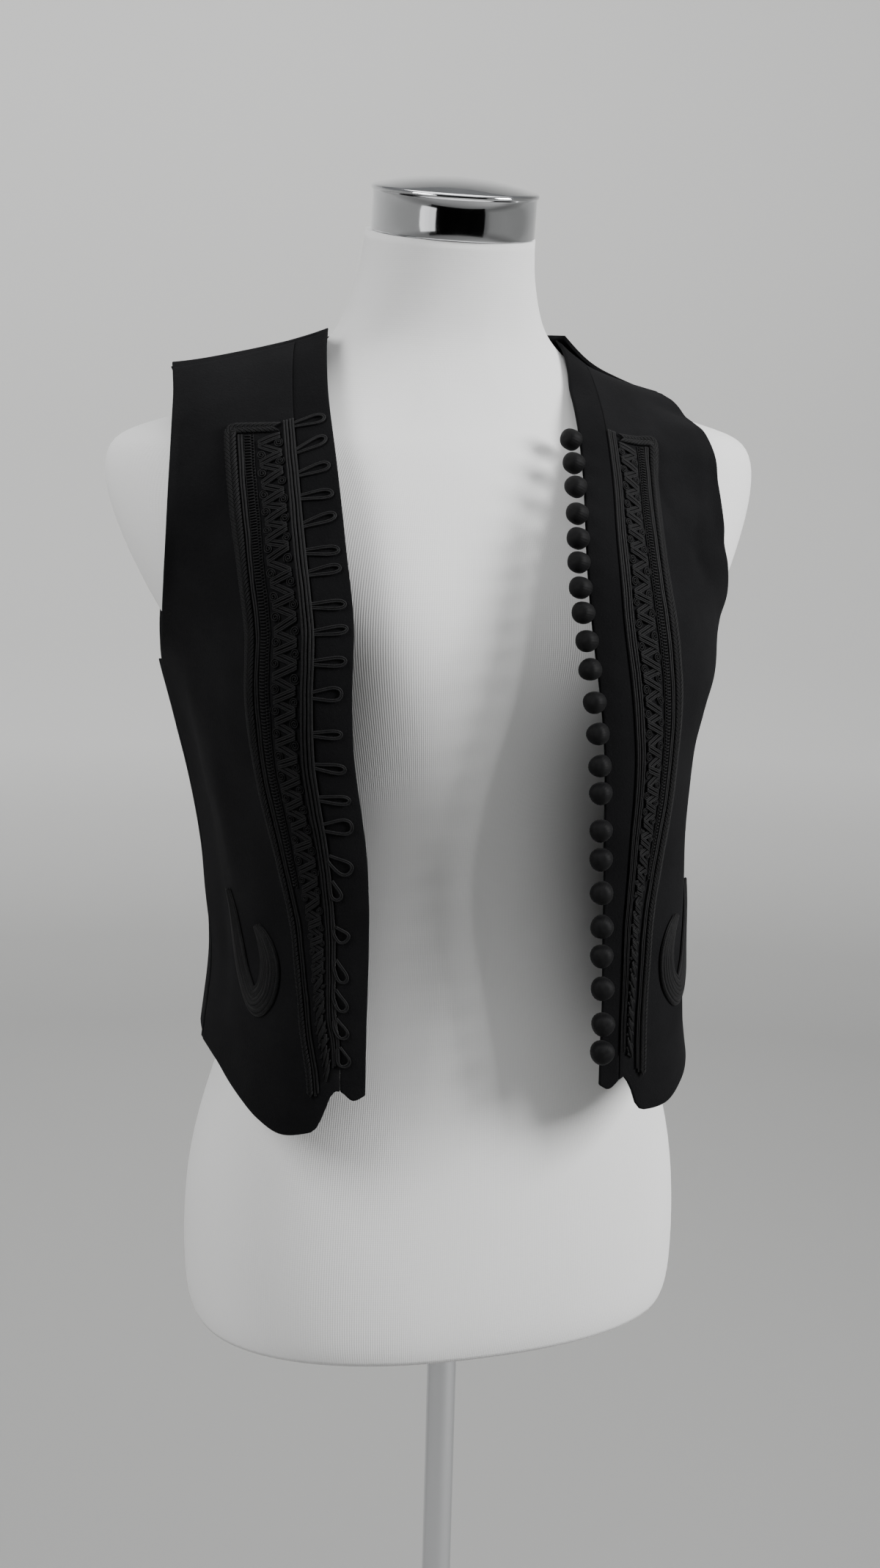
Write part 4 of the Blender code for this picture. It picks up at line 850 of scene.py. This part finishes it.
def silk_braid(name, dark, light, gloss, twist, threads):
    """Black silk thread: fine, hard-twisted and slightly glossy, its turns slanting lines of bump and painted
    shade.
    """
    material, tree, shader = new_material(
        name, Roughness=gloss, Specular_IOR_Level=0.15, Sheen_Weight=0.03, Sheen_Roughness=0.4
    )
    thread_map = add_node(tree, "UVMap", {"uv_map": "thread"})
    # The twist: bands that climb once round the cord in this many millimetres.
    slanted = add_node(
        tree, "Mapping", None, {"Vector": thread_map.outputs["UV"], "Scale": (1 / twist, threads, 1)}
    )
    parts = add_node(tree, "SeparateXYZ", None, {"Vector": slanted.outputs["Vector"]})
    turned = add_node(tree, "Math", {"operation": "ADD"}, {0: parts.outputs["X"], 1: parts.outputs["Y"]})
    scaled = add_node(tree, "Math", {"operation": "MULTIPLY"}, {0: turned.outputs["Value"], 1: 2 * math.pi})
    strands = add_node(tree, "Math", {"operation": "SINE"}, {0: scaled.outputs["Value"]})
    where = add_node(tree, "TexCoord")
    worn = add_node(
        tree, "TexNoise", None, {"Vector": where.outputs["Object"], "Scale": 420.0, "Detail": 3.0}
    )
    mixed = add_node(
        tree, "Math", {"operation": "MULTIPLY_ADD"},
        {0: strands.outputs["Value"], 1: 0.22, 2: worn.outputs["Fac"]},
    )
    # Painted shade and highlight: the twist's grooves are coloured darker and its crowns lighter, with the bump.
    tone = add_node(tree, "ValToRGB", None, {"Fac": mixed.outputs["Value"]})
    tone.color_ramp.elements[0].position, tone.color_ramp.elements[1].position = 0.3, 0.75
    tone.color_ramp.elements[0].color = linear(dark)
    tone.color_ramp.elements[1].color = linear(light)
    bump = add_node(
        tree, "Bump", None, {"Height": mixed.outputs["Value"], "Strength": 0.55, "Distance": 0.0003}
    )
    tree.links.new(tone.outputs["Color"], shader.inputs["Base Color"])
    tree.links.new(bump.outputs["Normal"], shader.inputs["Normal"])
    return material


plait_silk = silk_braid("black silk plait", "#0A0A0B", "#141415", 0.6, 1.4, 1.0)

for side, front in fronts.items():
    plait = Braiding()
    top, end = front.plait_top, front.trim_end
    inner, outer = front.line("soutache", top) + 0.15, front.line("plait", top) - 0.15
    half = (outer - inner) / 2
    level = top - half
    stop = front.line("pair", top) + 0.3
    runs = np.arange(0, end - top, 1.0)
    lead = np.arange(stop, inner, 1.0)
    turns = np.radians(np.linspace(0, 90, 9))[1:-1]
    edges = np.concatenate([
        lead, inner + half * np.sin(turns),
        (front.line("soutache", top + runs) + front.line("plait", top + runs)) / 2,
    ])
    downs = np.concatenate([np.full(len(lead), level), top - half * np.cos(turns), top + runs])
    halves = np.concatenate([
        np.full(len(lead) + len(turns), half),
        (front.line("plait", top + runs) - front.line("soutache", top + runs)) / 2 - 0.15,
    ])
    along = np.concatenate([[0], np.cumsum(np.hypot(np.diff(edges), np.diff(downs)))])
    strands = np.arange(0.5, along[-1] - PLAIT_SLANT * 4, STRAND_STEP)
    starts = (strands[:, None] + np.array(THREADS_IN_STRAND)).ravel()
    u = np.linspace(0, 1, 7)[None]
    for hand in (-1, 1):
        first = starts[:, None] + (0 if hand < 0 else STRAND_STEP / 2)
        width = np.interp(first, along, halves) - 0.4
        reach = (1 - 1.12 * u) * width
        run = np.clip(first + PLAIT_SLANT * width * u, 0, along[-1])
        ahead_edge, ahead_down = np.interp(run + 0.2, along, edges), np.interp(run + 0.2, along, downs)
        back_edge, back_down = np.interp(run - 0.2, along, edges), np.interp(run - 0.2, along, downs)
        slope = np.hypot(ahead_edge - back_edge, ahead_down - back_down) + 1e-9
        aside = np.stack([-(ahead_down - back_down) / slope, (ahead_edge - back_edge) / slope])
        lift = 0.75 + 1.25 * np.sin(math.pi * (0.1 + 0.75 * u)) ** 0.8
        plait.on(
            front, np.interp(run, along, edges) + hand * reach * aside[0],
            np.interp(run, along, downs) + hand * reach * aside[1], lift,
            0.5 * (1 - 0.6 * (2 * u - 1) ** 6), 0.55 * (1 - 0.6 * (2 * u - 1) ** 6), 5,
        )
    plait.made("plait_cords_" + side, plait_silk, "braid", ["plait_" + side])


# The soutache: a narrow flat braid of two round cores with a groove between them. One runs inside the
# plait, and a pair of them, sewn side by side, covers the seam of the band.
soutache_silk = silk_braid("black silk soutache", "#0C0C0D", "#171718", 0.55, 0.9, 1.0)


def wavering(downs, seed, reach=0.16):
    """The slight wandering of a braid sewn on by hand, as shares of a millimetre."""
    return reach * (np.sin(downs / 9.1 + seed) + 0.6 * np.sin(downs / 3.7 + 2.3 * seed))


def lay_soutache(work, front, downs, low, high, lift):
    """A soutache between two lines, as its two cores."""
    for share, turn in ((0.25, 1.0), (0.75, -1.0)):
        size = (high - low) / 4
        centre = low + (high - low) * share
        work.on(front, centre[None], downs[None], lift, size * 1.02, np.minimum(size, 0.85), 8, turn)


for side, front in fronts.items():
    top, plait_top, end = front.trim_top, front.plait_top, front.trim_end
    seed = 1.0 if side == "right" else 4.0
    downs = np.arange(plait_top + 0.5, end, 1.5)
    waver = wavering(downs, seed)
    groove = Braiding()
    lay_soutache(
        groove, front, downs, front.line("ladder", downs) + waver + 0.05,
        front.line("soutache", downs) + waver * 0.5 + 0.05, 0.75,
    )
    groove.made("soutache_groove_" + side, soutache_silk, "braid", ["groove_soutache_" + side])
    downs = np.arange(top, end, 1.5)
    waver = wavering(downs, seed + 1.3, 0.1)
    seam, pair = front.line("seam", downs), front.line("pair", downs)
    middle = (seam + pair) / 2 + waver
    outer = Braiding()
    lay_soutache(outer, front, downs, middle + 0.18, pair, 0.8)
    inner = outer if side == "left" else Braiding()
    lay_soutache(inner, front, downs, seam, middle - 0.18, 0.8)
    outer.made("soutache_pair_" + side, soutache_silk, "braid", ["twin_soutache_" + side])
    if side == "right":
        seam_soutache = inner


# The button loops: the inner soutache of the right front's pair, turned out into a narrow loop for each
# button and caught down again. The upper ones lie as neat hairpins, and the lower ones are worn open.
LOOP_ROWS = (
    (1301, 15, 18.5, 2.0), (1287, 24, 19.0, 2.0), (1275, 18, 18.5, 2.0), (1263, 10, 18.0, 2.0),
    (1248.6, 19, 19.0, 2.0), (1235, 5, 18.0, 2.0), (1223.7, 12, 18.0, 2.0), (1207, 5, 18.0, 2.0),
    (1193, 8, 18.0, 2.0), (1177, 3, 17.5, 2.3), (1159, 4, 16.0, 3.6), (1137, 0, 15.5, 2.1),
    (1119, -8, 16.5, 2.4), (1100, -4, 16.5, 2.3), (1083, 3, 15.5, 4.2), (1065, -34, 14.5, 4.0),
    (1051, -68, 11.5, 2.7), (1023, -46, 10.0, 3.4), (1004, -64, 14.5, 2.7), (986, -62, 13.5, 2.7),
    (969, -61, 12.5, 2.8), (952, -66, 12.0, 3.1),
)
LOOP_SHAPE = ((0.0, 0.45), (0.3, 0.7), (0.7, 1.0), (0.92, 0.75), (1.0, 0.0))
LOOP_ROOT = 0.9
LOOP_CORE = 0.52

front = fronts["right"]
for height, rise, length, bow in LOOP_ROWS:
    seam_down = front.down_at(height, float(front.line("seam", front.section_at[6])))
    root = float(front.line("seam", seam_down)) + LOOP_ROOT
    sine, cosine = math.sin(math.radians(rise)), math.cos(math.radians(rise))
    ring = [*LOOP_SHAPE, *[(run, -spread) for run, spread in reversed(LOOP_SHAPE[:-1])]]
    knots = []
    for run, spread in ring:
        run, spread = run * length, spread * bow
        from_edge = min(root - run * cosine - spread * sine, root)
        knots.append((from_edge, front.down_at(height + run * sine - spread * cosine, from_edge)))
    route = curve_through(np.arange(len(knots)), np.array(knots), np.linspace(0, len(knots) - 1, 49))
    ways = np.gradient(route, axis=0)
    aside = np.stack([-ways[:, 1], ways[:, 0]], 1) / np.linalg.norm(ways, axis=1)[:, None]
    shares = np.linspace(0, 1, 49)
    lift = 0.75 + 0.35 * np.sin(math.pi * shares) ** 0.5
    for offset, turn in ((-LOOP_CORE * 0.92, 1.0), (LOOP_CORE * 0.92, -1.0)):
        path = route + aside * offset
        seam_soutache.on(front, path[:, 0], path[:, 1], lift, LOOP_CORE, LOOP_CORE * 1.15, 7, turn)
seam_soutache.made("soutache_with_loops", soutache_silk, "braid", ["loop_cord"])


# The ladder lace: a narrow braided edging of thin rungs between rails, flat on the cloth. It narrows
# down the front and ends under the other trims.
RUNG_STEP = 1.9
lace_thread = silk_braid("black lace thread", "#0A0A0B", "#121213", 0.65, 0.8, 1.0)
for side, front in fronts.items():
    start, end = front.plait_top, front.ladder_end
    lace = Braiding()
    downs = np.arange(start + 0.5, end, 2.0)
    waver = wavering(downs, 2.0 if side == "right" else 5.0, 0.12)
    low, high = front.line("zigzag", downs) + 0.45, front.line("ladder", downs) - 0.45
    for share in (0.0, 0.3, 1.0):
        lace.on(front, low + (high - low) * share + waver, downs, 0.45, 0.3, 0.36, 6)
    steps = np.arange(start + 1.0, end - 1.0, RUNG_STEP)[:, None]
    low, high = front.line("zigzag", steps) + 0.45, front.line("ladder", steps) - 0.45
    for first, last, delay, size in ((0.0, 0.3, 0.9, 0.36), (0.3, 1.0, 0.0, 0.52)):
        u = np.linspace(0, 1, 5)[None]
        from_edge = low + (high - low) * (first + (last - first) * u)
        lift = 0.35 + 0.55 * np.sin(math.pi * u)
        lace.on(front, from_edge, steps + delay + 0.3 * np.sin(math.pi * u), lift, size, size, 5)
    lace.made("lace_rungs_" + side, lace_thread, "braid", ["ladder_lace_" + side])


# The zigzag braid: two narrow soutaches sewn down together in a zigzag, with a little coil of cord in
# each notch on both sides. It was worked by eye, and grows denser and less even towards the hem.
ZIGZAG_PERIOD = 13.0
ZIGZAG_CORE = 0.58
zigzag_silk = silk_braid("black silk zigzag", "#0A0A0B", "#141415", 0.6, 0.9, 1.0)
COIL_TURNS = 2.2
for side, front in fronts.items():
    start, end = front.plait_top, front.trim_end
    dice = np.random.default_rng(7 if side == "right" else 11)
    work = Braiding()
    corners, down, hand = [], start + 1.5, 1
    while down < end:
        low, high = front.line("pair", down), front.line("zigzag", down)
        squeeze = np.clip((high - low) / 17.0, 0.45, 1.0)
        inset = 1.6 + dice.uniform(-0.5, 0.6)
        place = down + dice.uniform(-0.8, 0.8) * (2 - squeeze)
        corners.append((low + inset if hand > 0 else high - inset, place, hand))
        down += ZIGZAG_PERIOD / 2 * (0.35 + 0.65 * squeeze) * dice.uniform(0.93, 1.07)
        hand = -hand
    corner_table = np.array(corners)
    steps = np.linspace(0, len(corners) - 1, len(corners) * 10)
    whole = np.floor(np.minimum(steps, len(corners) - 1.0001)).astype(int)
    part = steps - whole
    part = part * part * (3 - 2 * part) * 0.35 + part * 0.65
    route = corner_table[whole, :2] + (corner_table[whole + 1, :2] - corner_table[whole, :2]) * part[:, None]
    route[1:-1] = (route[:-2] + 2 * route[1:-1] + route[2:]) / 4
    over = 0.4 * corner_table[whole, 2] * np.sin(math.pi * part)
    for shift, lift in ((-1.75, 0.85), (-0.7, 0.95), (1.0, 0.95), (2.05, 0.85)):
        span = np.clip(route[:, 1] + shift, start + 0.5, end)
        turn = 1 if shift < 0 else -1
        work.on(front, route[:, 0], span, lift + over, ZIGZAG_CORE, ZIGZAG_CORE * 1.1, 6, turn)
    u = np.linspace(0, 1, 30)
    for edge, down, hand in corners[1:-1]:
        low, high = float(front.line("pair", down)), float(front.line("zigzag", down))
        room = min((high - low) * 0.17, 2.75)
        centre = high - room - 0.4 if hand > 0 else low + room + 0.4
        turn = 2 * math.pi * (COIL_TURNS * u + dice.uniform(0, 1))
        reach = room * (1 - 0.86 * u)
        stretch = dice.uniform(1.0, 1.25)
        work.on(
            front, centre + reach * np.cos(turn) * hand,
            np.clip(down + reach * stretch * np.sin(turn), start, end),
            0.6 + 0.35 * u, 0.4, 0.48, 6,
        )
    work.made("zigzag_cords_" + side, zigzag_silk, "braid", ["zigzag_braid_" + side])


# The horn motif: an old protective figure on each front's lower corner, filled with close rows of
# herringbone couching in silk cord over a padded ground, from a pointed tip round to a short arm.
HORN_ROWS = (
    (105, 1032, 3), (101, 1018, 11), (96.5, 1000, 16), (89.5, 982, 17.5), (77, 969, 17.5), (64.5, 977, 16.5),
    (60.5, 993, 16), (64.5, 1007, 12.5), (72, 1017, 5),
)
# The left front's is nearer to the front edge by this much.
HORN_SHIFTS = {"right": 0.0, "left": 10.0}
HORN_LANES = 4
HORN_STEP = 1.15
horn_silk = silk_braid("black silk couching", "#0B0B0C", "#151516", 0.6, 1.2, 1.0)
for side, front in fronts.items():
    table = np.array([
        (edge - HORN_SHIFTS[side], front.down_at(height, edge - HORN_SHIFTS[side]), breadth)
        for edge, height, breadth in HORN_ROWS
    ])
    fine = curve_through(np.arange(len(table)), table, np.linspace(0, len(table) - 1, 400))
    along = np.concatenate([[0], np.cumsum(np.hypot(*np.diff(fine[:, :2], axis=0).T))])
    dice = np.random.default_rng(3 if side == "right" else 5)
    work = Braiding()
    u = np.linspace(0, 1, 6)[None]
    for lane in range(HORN_LANES):
        lane_share = (lane + 0.5) / HORN_LANES * 2 - 1
        for hand in (-1, 1):
            starts = np.arange(1.0, along[-1] - 1.0, HORN_STEP)
            first = starts + (HORN_STEP / 2 if hand > 0 else 0) + dice.uniform(-0.15, 0.15, len(starts))
            first = first[:, None]
            breadth = np.interp(first, along, fine[:, 2])
            lane_half = breadth / HORN_LANES / 2
            way = 1 if lane < HORN_LANES / 2 else -1
            run = np.clip(first + way * (1.1 * lane_half + 0.3) * (u - 0.5) * 2, 0.1, along[-1] - 0.1)
            aside = lane_share * breadth / 2 + hand * lane_half * (1 - 0.95 * u)
            edge, down = np.interp(run, along, fine[:, 0]), np.interp(run, along, fine[:, 1])
            step_edge = np.interp(run + 0.3, along, fine[:, 0]) - np.interp(run - 0.3, along, fine[:, 0])
            step_down = np.interp(run + 0.3, along, fine[:, 1]) - np.interp(run - 0.3, along, fine[:, 1])
            size = np.hypot(step_edge, step_down) + 1e-9
            edge, down = edge - step_down / size * aside, down + step_edge / size * aside
            dome = 1 - (np.abs(aside) / (breadth / 2 + 0.1)) ** 2.5
            lift = 0.6 + 1.5 * np.clip(dome, 0, 1) + 0.5 * np.sin(math.pi * (0.1 + 0.8 * u))
            work.on(front, edge, down, lift, 0.52 * (1 - 0.5 * (2 * u - 1) ** 6), 0.5, 5)
    ground = np.arange(0.5, along[-1] - 0.5, 1.5)
    for share in (-0.75, -0.25, 0.25, 0.75):
        edge, down, breadth = (np.interp(ground, along, fine[:, k]) for k in range(3))
        slope_edge, slope_down = np.gradient(edge), np.gradient(down)
        size = np.hypot(slope_edge, slope_down)
        aside = share * breadth / 2
        work.on(
            front, edge - slope_down / size * aside, down + slope_edge / size * aside,
            0.45 + 0.9 * (1 - abs(share)), breadth / 7 + 0.2, 0.8, 8,
        )
    work.made("horn_couching_" + side, horn_silk, "braid", ["horn_motif_" + side])


# The buttons: small barrels of wood wound end to end with black silk thread until it covers them,
# gathered at the outer end, and sewn by a short neck of thread to the left front's edge.
BUTTON_HEIGHTS = (
    1294.0, 1281.2, 1268.4, 1254.2, 1241.4, 1228.6, 1215.0, 1201.6, 1186.4, 1170.6, 1152.0,
    1134.5, 1116.2, 1100.4, 1078.5, 1061.3, 1041.6, 1021.6, 1003.4, 983.4, 961.8, 944.2,
)
BUTTON_TURNS = (math.radians(12), math.radians(72))
BUTTON_SIZES = (0.94, 0.15)
BUTTON_PROFILE = (
    (0.25, 13.95), (0.9, 13.9), (2.2, 13.7), (3.8, 13.2), (5.1, 12.4), (6.0, 11.2), (6.5, 9.6), (6.7, 7.8),
    (6.7, 6.0), (6.45, 4.4), (5.8, 3.2), (4.4, 2.3), (2.8, 1.8), (1.8, 1.35), (1.6, 0.7), (1.6, 0.0),
)
BUTTON_RIBS = 24
SIDES_PER_RIB = 3
NECK_GAP = 0.45

button_thread, tree, shader = new_material(
    "black button silk", Roughness=0.6, Specular_IOR_Level=0.12, Sheen_Weight=0.02, Sheen_Roughness=0.4
)
# Each thread shows as a fine line from end to end with painted shade between, a little lighter where it is
# rubbed.
thread_map = add_node(tree, "UVMap", {"uv_map": "thread"})
lines = add_node(
    tree, "TexWave", {"bands_direction": "Y"},
    {"Vector": thread_map.outputs["UV"], "Scale": band_scale(1 / 72), "Distortion": 1.2, "Detail": 2.0},
)
where = add_node(tree, "TexCoord")
worn = add_node(tree, "TexNoise", None, {"Vector": where.outputs["Object"], "Scale": 260.0, "Detail": 3.0})
mixed = add_node(
    tree, "Math", {"operation": "MULTIPLY_ADD"}, {0: lines.outputs["Fac"], 1: 0.4, 2: worn.outputs["Fac"]}
)
# Painted shade: the colour darkens between the threads, in step with their bump.
tone = add_node(tree, "ValToRGB", None, {"Fac": mixed.outputs["Value"]})
tone.color_ramp.elements[0].position, tone.color_ramp.elements[1].position = 0.35, 1.0
tone.color_ramp.elements[0].color = linear("#060607")
tone.color_ramp.elements[1].color = linear("#0F0F10")
bump = add_node(tree, "Bump", None, {"Height": lines.outputs["Fac"], "Strength": 0.3, "Distance": 0.00015})
tree.links.new(tone.outputs["Color"], shader.inputs["Base Color"])
tree.links.new(bump.outputs["Normal"], shader.inputs["Normal"])

front = fronts["left"]
dice = np.random.default_rng(21)
profile = np.array(BUTTON_PROFILE)
sides = BUTTON_RIBS * SIDES_PER_RIB
turns = 2 * math.pi * np.arange(sides) / sides
rib = 0.5 + 0.5 * np.cos(turns * BUTTON_RIBS)
for number, height in enumerate(BUTTON_HEIGHTS, 1):
    down = front.down_at(height, 0)
    inner_edge = float(front.line("seam", down)) / 2
    (edge, inner), (out, _) = front.at(np.array([0.0, inner_edge]), np.array([down, down]), CLOTH / 2)
    beyond = (edge - inner) / np.linalg.norm(edge - inner)
    share = (number - 1) / (len(BUTTON_HEIGHTS) - 1)
    turn = BUTTON_TURNS[0] * (1 - share) + BUTTON_TURNS[1] * share
    axis = beyond * math.cos(turn) + out * math.sin(turn)
    foot = edge + axis * (NECK_GAP + CLOTH / 2 * math.sin(turn))
    up = np.cross(axis, beyond + out * 0.01 + np.array([0, 0, 1.0]))
    up /= np.linalg.norm(up)
    aside = np.cross(up, axis)
    size = BUTTON_SIZES[0] + BUTTON_SIZES[1] * share * share
    radius = profile[:, 0] * size * dice.uniform(0.98, 1.0)
    height_along = profile[:, 1] * (0.96 + 0.1 * share)
    lean = dice.uniform(0, 2 * math.pi)
    depth = 0.2 * np.clip(radius / 3, 0, 1)
    rings = radius[:, None] - depth[:, None] * rib[None]
    rings *= 1 + 0.025 * np.sin(turns * 3 + lean)[None] * np.clip(radius / 3, 0, 1)[:, None]
    points = foot + (
        rings[..., None] * (np.cos(turns + lean)[:, None] * up + np.sin(turns + lean)[:, None] * aside)
        + height_along[:, None, None] * axis
    )
    index = np.arange(points.shape[0] * sides).reshape(-1, sides)
    near, far = index[:-1], index[1:]
    quads = np.stack([near, np.roll(near, -1, axis=1), np.roll(far, -1, axis=1), far], -1).reshape(-1, 4)
    mesh = bpy.data.meshes.new(f"button_{number:02d}_silk")
    faces = [*quads.tolist(), index[0, ::-1].tolist(), index[-1].tolist()]
    mesh.from_pydata((points.reshape(-1, 3) * MM).tolist(), [], faces)
    corners = np.zeros((len(mesh.loops), 2))
    rows, columns = np.divmod(np.arange(len(quads)), sides)
    for corner, (row_step, column_step) in enumerate(((0, 0), (0, 1), (1, 1), (1, 0))):
        corners[corner : len(quads) * 4 : 4, 0] = height_along[rows + row_step]
        corners[corner : len(quads) * 4 : 4, 1] = (columns + column_step) / sides
    mesh.uv_layers.new(name="thread").data.foreach_set("uv", corners.ravel())
    mesh.materials.append(button_thread)
    mesh.shade_smooth()
    piece = bpy.data.objects.new(mesh.name, mesh)
    bpy.context.scene.collection.objects.link(piece)
    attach(piece, "root")
    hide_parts(f"button_{number:02d}")
